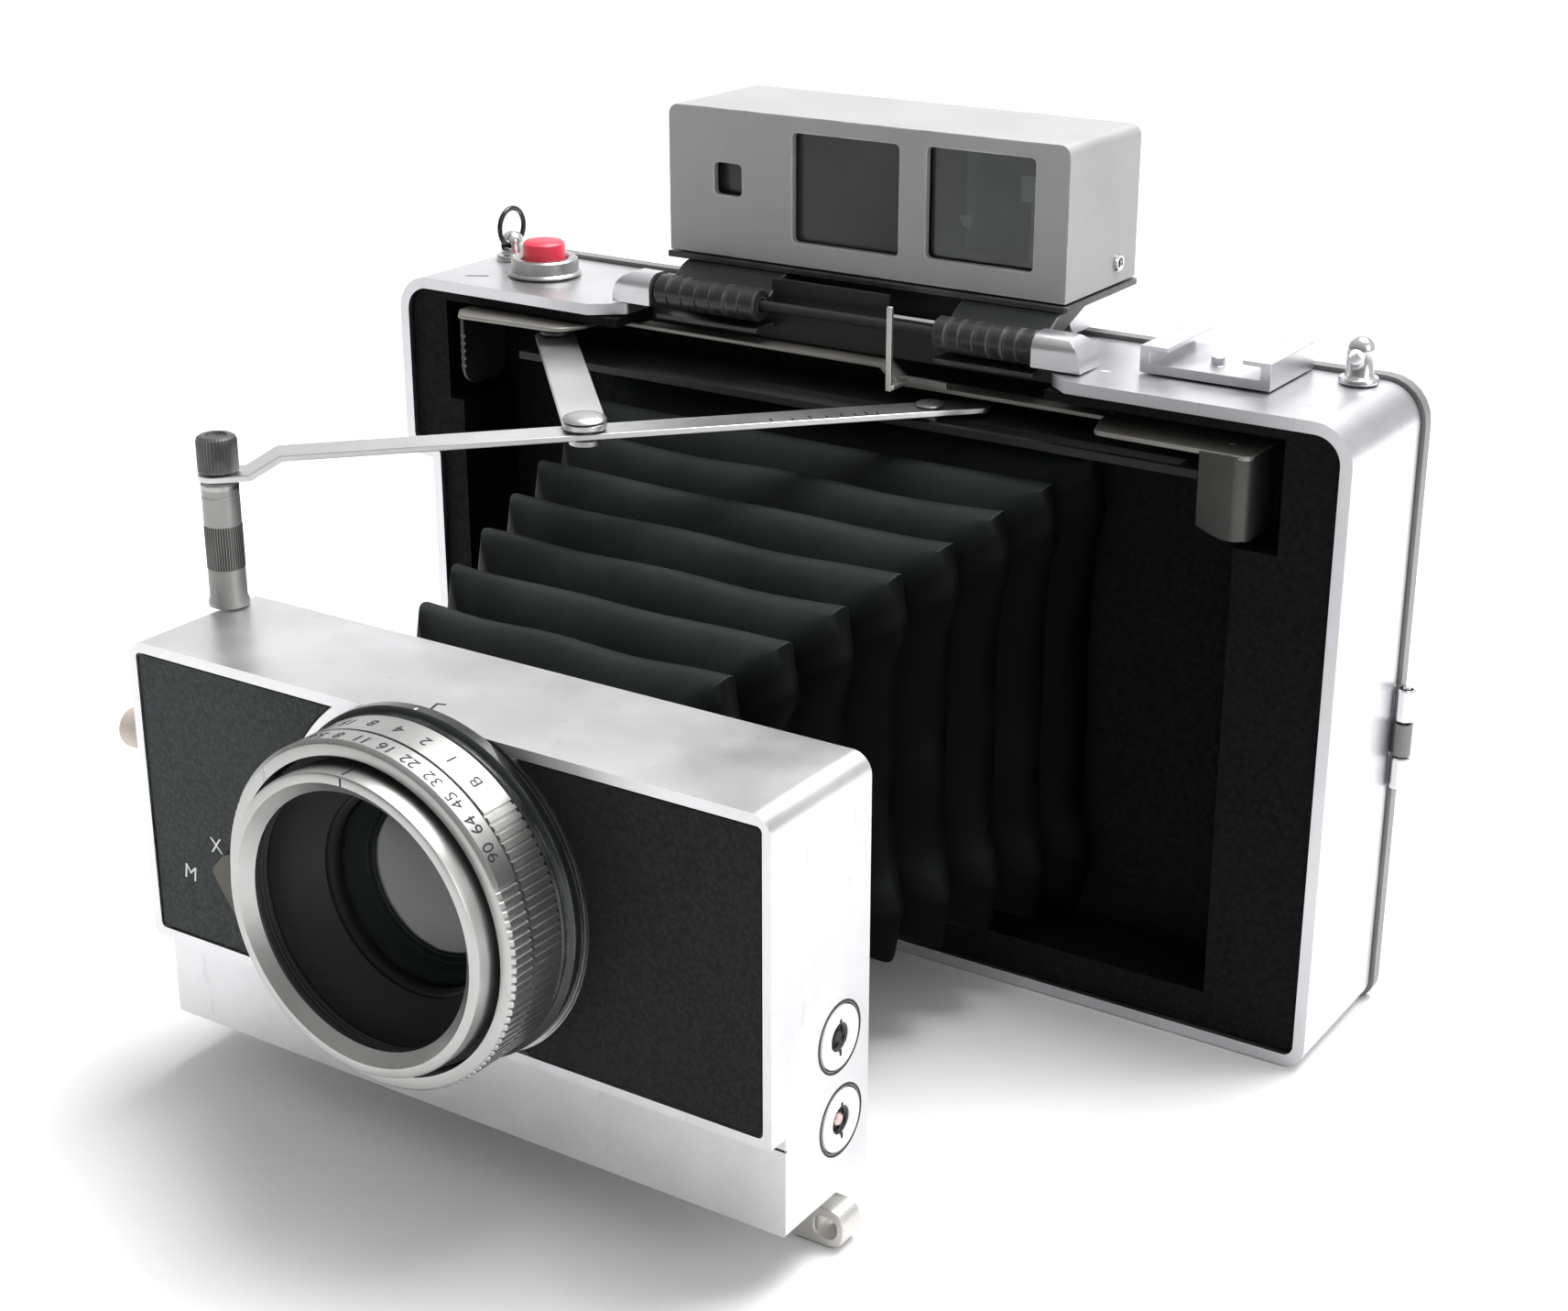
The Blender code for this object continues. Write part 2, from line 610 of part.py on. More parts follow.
def finder():
    ay, az = FINDER_AXIS
    shell = box("finder_shell", FINDER_X, FINDER_Y, FINDER_Z, LOOKS["satin_grey"])
    bevel(shell, 1.2, 3)
    hollow = box("finder_hollow", (FINDER_X[0] + 1.2, FINDER_X[1] - 1.2),
                 (FINDER_Y[0] + 1.2, FINDER_Y[1] - 1.2), (110.0, FINDER_Z[1] - 1.2))
    cut(shell, hollow)
    moving = [shell]
    for name, (x0, x1, z0, z1) in FINDER_WINDOWS.items():
        cut(shell, box(name + "_cut", (x0, x1), (-3.0, 5.0), (z0, z1)))
        moving.append(box(name, (x0 - 0.8, x1 + 0.8), (FINDER_Y[0] + 1.5, FINDER_Y[0] + 2.5),
                          (z0 - 0.8, z1 + 0.8), LOOKS["glass"]))
    eye_x, eye_z = 20.5, 130.0
    cut(shell, rod("eyepiece_hole", (eye_x, 26.0, eye_z), 4.0, 8.0, "Y", None, 24))
    moving.append(turned("finder_eyepiece", [(3.7, 1.4), (3.7, -FIT), (5.2, -FIT), (5.2, -2.4), (2.6, -2.4),
                                             (2.6, 1.4)],
                         (eye_x, FINDER_Y[1], eye_z), "Y", LOOKS["black_metal"], 24))
    mirror = box("finder_mirror", (-0.5, 0.5), (-8.5, 8.5), (-8.5, 8.5), LOOKS["glass"])
    mirror.location = Vector((19.5, 13.8, 129.5)) * MM
    mirror.rotation_euler.z = math.radians(-45.0)
    moving.append(mirror)

    base = box("finder_base", (FINDER_X[0] - 0.5, FINDER_X[1] + 0.5), (FINDER_Y[0] - 0.5, FINDER_Y[1] + 0.5),
               (115.0, FINDER_Z[0] - FIT), LOOKS["black_metal"])
    for side, x0, x1 in (("left", -38.0, -17.0), ("right", 18.0, 36.4)):
        middle = (x0 + x1) / 2
        barrel = rod(f"barrel_{side}", (middle, ay, az), BARREL_RADIUS, x1 - x0, "X", None, 20)
        leaf = extruded(f"leaf_{side}", [[(ay - 1.0, az + 1.0), (ay + 2.0, az - 1.6), (10.0, 115.4),
                                          (2.0, 115.4), (0.0, 115.4)]], x0, x1, "X")
        join(base, barrel, leaf)
    join(base, box("apron", (-17.5, 6.0), (ay + 3.6, ay + 4.6), (109.3, 115.5)))
    for side, x0 in (("left", -40.6), ("right", 33.6)):
        ear = extruded(f"ear_{side}", [rounded([(5.0, 115.5, 0.0), (5.0, 110.2, 3.0), (23.0, 110.2, 5.0),
                                                (23.0, 115.5, 0.0)], 5)], x0, x0 + 2.0, "X")
        join(base, ear)
    cut(base, rod("barrel_bore", (0.0, ay, az), HINGE_PIN_RADIUS + 0.35, 100.0, "X", None, 20))
    moving.append(base)
    moving.append(turned("finder_screw", [(0.0, 0.9), (0.9, 0.8), (1.5, FIT), (0.0, FIT)],
                         (FINDER_X[1], 19.5, 119.9), "X", LOOKS["bright_steel"], 16))
    pivot("finder_axis", (0.0, ay, az), *moving)

    for side, x0, x1 in (("left", -46.4, -38.4), ("right", 36.8, 45.6)):
        out = min(x0, x1) if side == "left" else max(x0, x1)
        corner = 4.2
        top = az + BARREL_RADIUS + 0.2
        outline = [(x0, HEIGHT + FIT, 0.0), (x1, HEIGHT + FIT, 0.0), (x1, top, 0.0), (x0, top, 0.0)]
        outline = [(a, b, corner if (a == out and b > 110.0) else 0.0) for a, b, _ in outline]
        bracket = extruded(f"hinge_bracket_{side}", [rounded(outline, 5)], ay - 3.4, ay + 3.4, "Y",
                           LOOKS["aluminium"])
        cut(bracket, rod(f"bracket_bore_{side}", (x0 if out == x1 else x1, ay, az), HINGE_PIN_RADIUS + FIT,
                         13.0, "X", None, 20))
    rod("finder_hinge_pin", (-0.8, ay, az), HINGE_PIN_RADIUS, 85.0, "X", LOOKS["black_metal"], 20)


# ---------------------------------------------------------------- front standard

def panel_outline(side, inset=0.0):
    """A bezel panel: a rectangle whose inner edge follows a circle about the lens."""
    low = BEZEL_LOW + 1.5 + inset
    high = STANDARD_Z[1] - 1.7 - inset
    outer = STANDARD_X[0] + 1.6 + inset if side < 0 else STANDARD_X[1] - 1.4 - inset
    radius = PANEL_CLEAR_RADIUS + inset
    start = math.asin((low - LENS_Z) / radius)
    end = math.asin((high - LENS_Z) / radius)
    points = [(outer, high), (outer, low)]
    for step in range(17):
        turn = start + (end - start) * step / 16
        points.append((LENS_X + side * radius * math.cos(turn), LENS_Z + radius * math.sin(turn)))
    return points


def standard():
    (left, right), (low, high) = STANDARD_X, STANDARD_Z
    case = extruded("standard_case", [rounded([(left, low, 0.0), (right, low, 0.0), (right, high, 3.0),
                                               (left, high, 3.0)])],
                    STANDARD_FRONT, STANDARD_BACK, "Y", LOOKS["aluminium"])
    block = extruded("bezel_block", [rounded([(left, BEZEL_LOW, 0.0), (right, BEZEL_LOW, 0.0),
                                              (right, high, 3.0), (left, high, 3.0)])],
                     BEZEL_FRONT, STANDARD_FRONT + 1.0, "Y")
    bevel(block, 1.2, 2)
    join(case, block)
    cavity = box("standard_cavity", (STANDARD_X[0] + 1.6, STANDARD_X[1] - 1.6),
                 (STANDARD_FRONT + 1.5, STANDARD_BACK - 1.5), (STANDARD_Z[0] + 1.6, STANDARD_Z[1] - 1.6))
    rear = box("standard_rear_window", (-28.0, 23.0), (STANDARD_BACK - 4.0, -80.0), (29.0, 71.0))
    bore = rod("lens_bore", (LENS_X, -110.0, LENS_Z), 22.0, 14.0, "Y", None, 40)
    cut(case, cavity, rear, bore)
    moving = [case]
    for side, name in ((-1, "left"), (1, "right")):
        pocket = extruded(f"panel_pocket_{name}", [panel_outline(side)], BEZEL_FRONT - 2.0,
                          BEZEL_FRONT + 1.0, "Y")
        cut(case, pocket)
        moving.append(extruded(f"panel_{name}", [panel_outline(side, 0.35)], BEZEL_FRONT + 0.2,
                               BEZEL_FRONT + 0.7, "Y", LOOKS["leatherette"]))
    cut(case, rod("cable_hole", (56.0, -96.9, 34.2), 5.1, 8.0, "X", None, 24),
        rod("sync_hole", (56.0, -96.4, 20.6), 5.1, 8.0, "X", None, 24),
        rod("side_knob_hole", KNOB_AT, 2.2, 8.0, "X", None, 20))
    moving.append(turned("cable_socket", [(4.8, 0.2), (4.8, -1.4), (2.2, -1.4), (2.2, 0.2)],
                         (56.0, -96.9, 34.2), "X", LOOKS["bright_steel"], 28))
    moving.append(turned("sync_socket", [(4.8, 0.2), (4.8, -1.4), (2.5, -1.4), (2.5, 0.2)],
                         (56.0, -96.4, 20.6), "X", LOOKS["bright_steel"], 28))
    foot = extruded("front_foot", [rounded([(49.0, 0.0, 0.0), (57.8, 0.0, 2.6), (57.8, 6.2, 2.6),
                                            (52.8, 6.2, 0.0), (52.8, 8.5, 0.0), (49.0, 8.5, 0.0)], 5),
                                   rounded([(52.8, 1.5, 1.2), (56.4, 1.5, 1.2), (56.4, 4.7, 1.2),
                                            (52.8, 4.7, 1.2)], 4)],
                    -98.2, -93.4, "Y", LOOKS["bright_steel"])
    moving.append(foot)
    return moving


def lens():
    centre = (LENS_X, BEZEL_FRONT, LENS_Z)
    fixed = [
        turned("lens_base_ring", [(24.3, 3.4), (26.6, 3.4), (26.6, 2.2), (27.3, 2.0), (27.3, FIT), (24.3, FIT)],
               centre, "Y", LOOKS["black_metal"]),
        turned("lens_barrel", [(23.9, 12.2), (23.9, FIT), (21.5, FIT), (21.5, -14.0), (15.5, -14.0),
                               (15.5, 3.2), (20.6, 9.8), (20.6, 12.2)], centre, "Y", LOOKS["black_metal"]),
        turned("front_ring", [(22.6, 17.6), (23.0, 17.2), (23.0, 12.5), (20.5, 12.5), (20.5, 15.2), (19.6, 15.6),
                              (19.6, 16.0), (21.4, 17.6)], centre, "Y", LOOKS["bright_steel"]),
        turned("front_element", [(0.0, 4.6), (7.0, 4.1), (12.0, 2.6), (15.0, 0.6), (15.0, -1.4), (0.0, -1.4)],
               centre, "Y", LOOKS["glass"], 32),
        turned("diaphragm", [(15.1, -6.4), (15.1, -7.2), (5.0, -7.2), (5.0, -6.4)], centre, "Y",
               LOOKS["black_metal"], 32),
        turned("rear_element", [(0.0, -10.0), (15.0, -10.0), (15.0, -11.0), (8.0, -12.6), (0.0, -13.2)],
               centre, "Y", LOOKS["glass"], 32),
    ]
    scale = {}
    for name, low, high in (("shutter_ring", 3.8, 9.8), ("aperture_ring", 10.1, 14.4)):
        scale[name] = turned(name, [(26.2, high), (26.5, high - 0.3), (26.5, low + 0.3), (26.2, low),
                                    (24.2, low), (24.2, high)], centre, "Y", LOOKS["bright_steel"])
    inner = [(-29.0 * math.cos(math.radians(a)), -29.0 * math.sin(math.radians(a)), 0.0) for a in (33, 23, 13, 3)]
    lever = extruded("sync_lever", [rounded(inner + [(-41.2, -6.2, 1.0), (-44.0, -9.4, 1.2), (-39.0, -17.0, 1.5)], 3)],
                     -1.6, -0.4, "Y", LOOKS["satin_grey"])
    lever.location = Vector((LENS_X, BEZEL_FRONT - 1.0, LENS_Z)) * MM
    return fixed, scale, lever


def front_assembly(post_at, strut_axis, strut_point):
    fx, fy = post_at
    moving = standard()
    fixed, scale, lever = lens()
    moving += fixed
    moving.append(turned("post", [(0.0, 97.9), (1.35, 97.9), (1.35, 95.1), (2.95, 95.1), (2.95, 74.8),
                                  (0.0, 74.8)], (fx, fy, 0.0), "Z", LOOKS["satin_grey"], 24))
    moving.append(turned("post_cap", [(0.0, 102.4), (2.7, 102.4), (3.2, 101.9), (3.2, 96.8), (1.7, 96.8),
                                      (1.7, 98.2), (0.0, 98.2)], (fx, fy, 0.0), "Z",
                         LOOKS["black_metal"], 24))
    standard_axis = pivot("standard_axis", (fx, fy, 75.0), *moving)
    carry(standard_axis, strut_axis, strut_point)
    centre = (LENS_X, BEZEL_FRONT, LENS_Z)
    base = (fx, fy, 75.0)
    for name in ("shutter_ring", "aperture_ring"):
        carry(pivot(name + "_axis", centre, scale[name]), standard_axis, base)
    carry(pivot("sync_lever_axis", centre, lever), standard_axis, base)
    knob = turned("side_knob", [(0.0, 6.0), (2.4, 5.9), (3.4, 5.1), (3.4, 0.4), (1.9, 0.4), (1.9, -3.0),
                                (0.0, -3.0)], KNOB_AT, "X", LOOKS["beige_plastic"], 24)
    knob.rotation_euler = (0.0, -math.pi / 2, 0.0)
    carry(pivot("side_knob_axis", KNOB_AT, knob), standard_axis, base)


def main():
    clear_scene()
    housing()
    bellows()
    top_fittings()
    film_side()
    post_at, strut_axis, strut_point = linkage()
    focusing()
    finder()
    front_assembly(post_at, strut_axis, strut_point)


main()
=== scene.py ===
"""Looks for a folding bellows instant pack-film camera, standing open on a pale floor."""
import json
import math

import bmesh
import bpy
from mathutils import Matrix, Vector


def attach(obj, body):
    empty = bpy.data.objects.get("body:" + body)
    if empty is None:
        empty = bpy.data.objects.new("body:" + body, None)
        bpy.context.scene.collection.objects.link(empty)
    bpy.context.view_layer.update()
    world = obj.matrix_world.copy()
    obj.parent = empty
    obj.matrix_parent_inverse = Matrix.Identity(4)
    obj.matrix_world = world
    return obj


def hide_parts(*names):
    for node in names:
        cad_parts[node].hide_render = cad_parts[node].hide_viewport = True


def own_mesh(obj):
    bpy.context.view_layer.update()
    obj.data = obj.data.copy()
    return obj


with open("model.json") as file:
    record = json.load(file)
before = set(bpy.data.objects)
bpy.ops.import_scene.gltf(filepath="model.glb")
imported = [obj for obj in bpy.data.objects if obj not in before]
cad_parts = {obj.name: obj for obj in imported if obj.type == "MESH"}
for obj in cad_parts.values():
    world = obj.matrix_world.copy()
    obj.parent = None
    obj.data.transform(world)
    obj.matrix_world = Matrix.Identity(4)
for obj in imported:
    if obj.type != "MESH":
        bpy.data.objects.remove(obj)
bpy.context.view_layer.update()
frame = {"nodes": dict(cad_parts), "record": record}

MM = 0.001
NODES = frame["nodes"]
BODY_OF = {node: body for body, nodes in frame["record"]["behaviour"]["bodies"].items() for node in nodes}

# Places shared with the frame, in millimetres
HALF_WIDTH = 93.0
HEIGHT = 108.3
FRONT = -14.1
BACK = 14.1
LENS_X = -2.5
LENS_Z = 49.7
BEZEL_FRONT = -114.1
LENS_AT = (LENS_X, BEZEL_FRONT, LENS_Z)
STANDARD_FRONT = -110.6
STANDARD_BACK = -89.1
STANDARD_X = (-62.0, 56.0)
STANDARD_Z = (8.8, 74.5)
BEZEL_LOW = 24.5
FINDER_X = (-41.8, 36.8)
FINDER_Y = (0.9, 26.3)
FINDER_Z = (116.4, 142.0)
HINGE_Y, HINGE_Z = -7.1, 110.9
HINGE_AT = (0.0, HINGE_Y, HINGE_Z)
EYEPIECE_AT = (20.5, FINDER_Y[1], 130.0)
TRIPOD_AT = (30.0, 10.1, 0.0)
SOCKETS = (("cable_socket", (56.0, -96.9, 34.2), "black_matt"),
           ("sync_socket", (56.0, -96.4, 20.6), "pink_metal"))
DIAL_POINTS = 960
# Radii on the dials: the inner edge of the numbered band, and the outer edge of the knurl valleys that get
# dark metal as painted shade.
BAND_INNER, VALLEY_SHADE_RADIUS = 26.08, 26.4
ARM = 57.5
REST_ANGLE = 47.2
LINK_PIVOT = (-59.8, -10.1)
KNOB_AT = (-62.0, -109.8, 57.5)
RELEASE_AT = (-69.8, 0.0)


# ---------------------------------------------------------------- materials

MATERIALS = {}


class Nodes:
    """Short calls for wiring one material."""

    def __init__(self, name):
        self.material = bpy.data.materials.new(name)
        self.material.use_nodes = True
        self.tree = self.material.node_tree
        self.shader = self.tree.nodes["Principled BSDF"]
        self.where = self.node("ShaderNodeTexCoord").outputs["Object"]

    def node(self, kind, **values):
        made = self.tree.nodes.new(kind)
        for key, value in values.items():
            if hasattr(made, key):
                setattr(made, key, value)
            else:
                made.inputs[key].default_value = value
        return made

    def link(self, source, target):
        self.tree.links.new(source, target)

    def noise(self, scale, stretch=(1, 1, 1), detail=4.0, rough=0.55):
        place = self.node("ShaderNodeMapping")
        place.inputs["Scale"].default_value = stretch
        self.link(self.where, place.inputs["Vector"])
        noise = self.node("ShaderNodeTexNoise")
        noise.inputs["Scale"].default_value = scale
        noise.inputs["Detail"].default_value = detail
        noise.inputs["Roughness"].default_value = rough
        self.link(place.outputs["Vector"], noise.inputs["Vector"])
        return noise.outputs["Fac"]

    def cells(self, scale, feature="F1"):
        cells = self.node("ShaderNodeTexVoronoi", feature=feature)
        cells.inputs["Scale"].default_value = scale
        self.link(self.where, cells.inputs["Vector"])
        return cells.outputs["Distance"]

    def ramp(self, source, low, high, first, last):
        """Colours from first to last as source goes from low to high."""
        ramp = self.node("ShaderNodeValToRGB")
        start, end = ramp.color_ramp.elements
        start.position, end.position = low, high
        start.color, end.color = (*first, 1.0), (*last, 1.0)
        self.link(source, ramp.inputs["Fac"])
        return ramp.outputs["Color"]

    def spread(self, source, low, high, first, last):
        """Values from first to last as source goes from low to high."""
        spread = self.node("ShaderNodeMapRange")
        for key, value in (("From Min", low), ("From Max", high), ("To Min", first), ("To Max", last)):
            spread.inputs[key].default_value = value
        self.link(source, spread.inputs["Value"])
        return spread.outputs["Result"]

    def mix(self, share, one, two):
        mix = self.node("ShaderNodeMix", data_type="RGBA")
        self.link(share, mix.inputs["Factor"])
        colour_sockets = [s for s in mix.inputs if s.type == "RGBA"]
        for socket, colour in zip(colour_sockets, (one, two)):
            if isinstance(colour, tuple):
                socket.default_value = (*colour, 1.0)
            else:
                self.link(colour, socket)
        return [s for s in mix.outputs if s.type == "RGBA"][0]

    def edge(self, radius):
        """1 on sharp outer edges and 0 on flats."""
        bevel = self.node("ShaderNodeBevel", samples=4)
        bevel.inputs["Radius"].default_value = radius
        true_normal = self.node("ShaderNodeNewGeometry").outputs["Normal"]
        dot = self.node("ShaderNodeVectorMath", operation="DOT_PRODUCT")
        self.link(bevel.outputs["Normal"], dot.inputs[0])
        self.link(true_normal, dot.inputs[1])
        return self.spread(dot.outputs["Value"], 0.99, 0.86, 0.0, 1.0)

    def bump(self, source, height, strength=1.0, after=None):
        bump = self.node("ShaderNodeBump")
        bump.inputs["Strength"].default_value = strength
        bump.inputs["Distance"].default_value = height
        self.link(source, bump.inputs["Height"])
        if after:
            self.link(after, bump.inputs["Normal"])
        return bump.outputs["Normal"]

    def set(self, **values):
        for key, value in values.items():
            socket = self.shader.inputs[key.replace("_", " ")]
            if isinstance(value, bpy.types.NodeSocket):
                self.link(value, socket)
            elif isinstance(value, tuple):
                socket.default_value = (*value, 1.0)
            else:
                socket.default_value = value
        return self.material


def keep(name, nodes):
    MATERIALS[name] = nodes.material


def metal(name, dark, light, rough, stretch, metallic=1.0, grain=0.00002, scratch=0.35):
    """Brushed or satin metal: a stretched grain, faint stains and a few fine scratches."""
    n = Nodes(name)
    grain_noise = n.noise(900.0, stretch, 5.0, 0.6)
    stain = n.noise(38.0, (1, 1, 1), 5.0, 0.6)
    fine = n.noise(260.0, (1, 1, 0.25), 3.0, 0.7)
    tone = n.ramp(stain, 0.3, 0.7, dark, light)
    speck = n.spread(fine, 0.66, 0.74, 0.0, scratch)
    tone = n.mix(speck, tone, tuple(0.72 * c for c in dark))
    rough_value = n.spread(stain, 0.25, 0.75, rough - 0.05, rough + 0.07)
    normal = n.bump(grain_noise, grain, 0.6, n.bump(stain, 0.0001, 0.12))
    n.set(Base_Color=tone, Roughness=rough_value, Metallic=metallic, Normal=normal)
    keep(name, n)


def paint(name, dark, light, rough, grain_scale=1500.0, grain=0.00002, metallic=0.0, lighter_edges=None,
          edge_radius=0.0006, coat=0.0):
    """Painted or moulded surface with a fine orange-peel grain, and worn outer edges where given."""
    n = Nodes(name)
    stain = n.noise(45.0, (1, 1, 1), 4.0, 0.55)
    grain_noise = n.noise(grain_scale, (1, 1, 1), 3.0, 0.6)
    tone = n.ramp(stain, 0.3, 0.7, dark, light)
    paler = tuple(min(1.0, 1.25 * c + 0.004) for c in light)
    tone = n.mix(n.spread(grain_noise, 0.3, 0.7, 0.0, 0.25), tone, paler)
    if lighter_edges:
        patch = n.node("ShaderNodeMath", operation="MULTIPLY")
        n.link(n.edge(edge_radius), patch.inputs[0])
        n.link(n.spread(n.noise(160.0, (1, 1, 1), 4.0), 0.42, 0.6, 0.15, 1.0), patch.inputs[1])
        tone = n.mix(patch.outputs[0], tone, lighter_edges)
    n.set(Base_Color=tone, Roughness=n.spread(stain, 0.25, 0.75, rough - 0.06, rough + 0.06),
          Metallic=metallic, Normal=n.bump(grain_noise, grain, 0.7), Coat_Weight=coat)
    keep(name, n)


def leatherette(name, dark, light, rough, scale=1050.0, shine=0.5):
    """Embossed covering: small rounded cells with soft valleys."""
    n = Nodes(name)
    cells = n.cells(scale)
    broad = n.noise(30.0, (1, 1, 1), 4.0, 0.6)
    fine = n.noise(2600.0, (1, 1, 1), 2.0, 0.6)
    tone = n.ramp(cells, 0.05, 0.7, light, dark)
    tone = n.mix(n.spread(broad, 0.3, 0.75, 0.0, 0.35), tone, tuple(1.6 * c for c in light))
    normal = n.bump(fine, 0.00001, 0.5, n.bump(cells, 0.00005, 0.8))
    n.set(Base_Color=tone, Roughness=n.spread(cells, 0.0, 0.8, rough - 0.08, rough + 0.08), Normal=normal,
          Specular_IOR_Level=shine)
    keep(name, n)


def bellows_cloth():
    """Coated cloth: a fine weave, a lighter greenish tone on upward-facing folds that is partly dust and
    partly painted sheen, edges lightened partly by wear and partly by painted highlight, and a soft sheen.
    """
    n = Nodes("bellows_cloth")
    warp = n.noise(1400.0, (1, 0.12, 1), 2.0)
    weft = n.noise(1400.0, (0.12, 1, 1), 2.0)
    both = n.node("ShaderNodeMath", operation="ADD")
    n.link(warp, both.inputs[0])
    n.link(weft, both.inputs[1])
    dust = n.noise(70.0, (1, 1, 1), 6.0, 0.65)
    faces = n.node("ShaderNodeSeparateXYZ")
    n.link(n.node("ShaderNodeNewGeometry").outputs["Normal"], faces.inputs["Vector"])
    upward = n.spread(faces.outputs["Z"], 0.1, 0.75, 0.0, 1.0)
    dust_and_sheen_up, lighter_edges = (n.node("ShaderNodeMath", operation="MULTIPLY") for _ in range(2))
    n.link(upward, dust_and_sheen_up.inputs[0])
    n.link(n.spread(dust, 0.3, 0.72, 0.25, 1.0), dust_and_sheen_up.inputs[1])
    n.link(n.spread(faces.outputs["Z"], 0.0, 0.6, 0.03, 1.0), lighter_edges.inputs[0])
    n.link(n.spread(n.edge(0.0007), 0.2, 0.95, 0.0, 0.6), lighter_edges.inputs[1])
    tone = n.ramp(dust, 0.3, 0.72, (0.0006, 0.0008, 0.0008), (0.0018, 0.0022, 0.0021))
    # Lighter greenish tone on upward-facing faces: partly dust, partly painted sheen.
    tone = n.mix(dust_and_sheen_up.outputs[0], tone, (0.010, 0.0145, 0.013))
    # Lighter edges, strongest where they face up: partly wear, partly painted highlight.
    tone = n.mix(lighter_edges.outputs[0], tone, (0.05, 0.066, 0.06))
    n.set(Base_Color=tone, Roughness=n.spread(dust, 0.3, 0.7, 0.5, 0.64),
          Specular_IOR_Level=n.spread(faces.outputs["Z"], 0.0, 0.6, 0.03, 0.22),
          Normal=n.bump(both.outputs[0], 0.00003, 0.5, n.bump(dust, 0.0002, 0.3)))
    keep("bellows_cloth", n)


def glass(name, colour, rough, ior, transmission):
    n = Nodes(name)
    smear = n.noise(60.0, (1, 1, 1), 5.0, 0.6)
    n.set(Base_Color=n.ramp(smear, 0.3, 0.8, colour, tuple(min(1.0, 1.4 * c + 0.01) for c in colour)),
          Roughness=n.spread(smear, 0.35, 0.8, rough, rough + 0.05), IOR=ior,
          Transmission_Weight=transmission)
    keep(name, n)


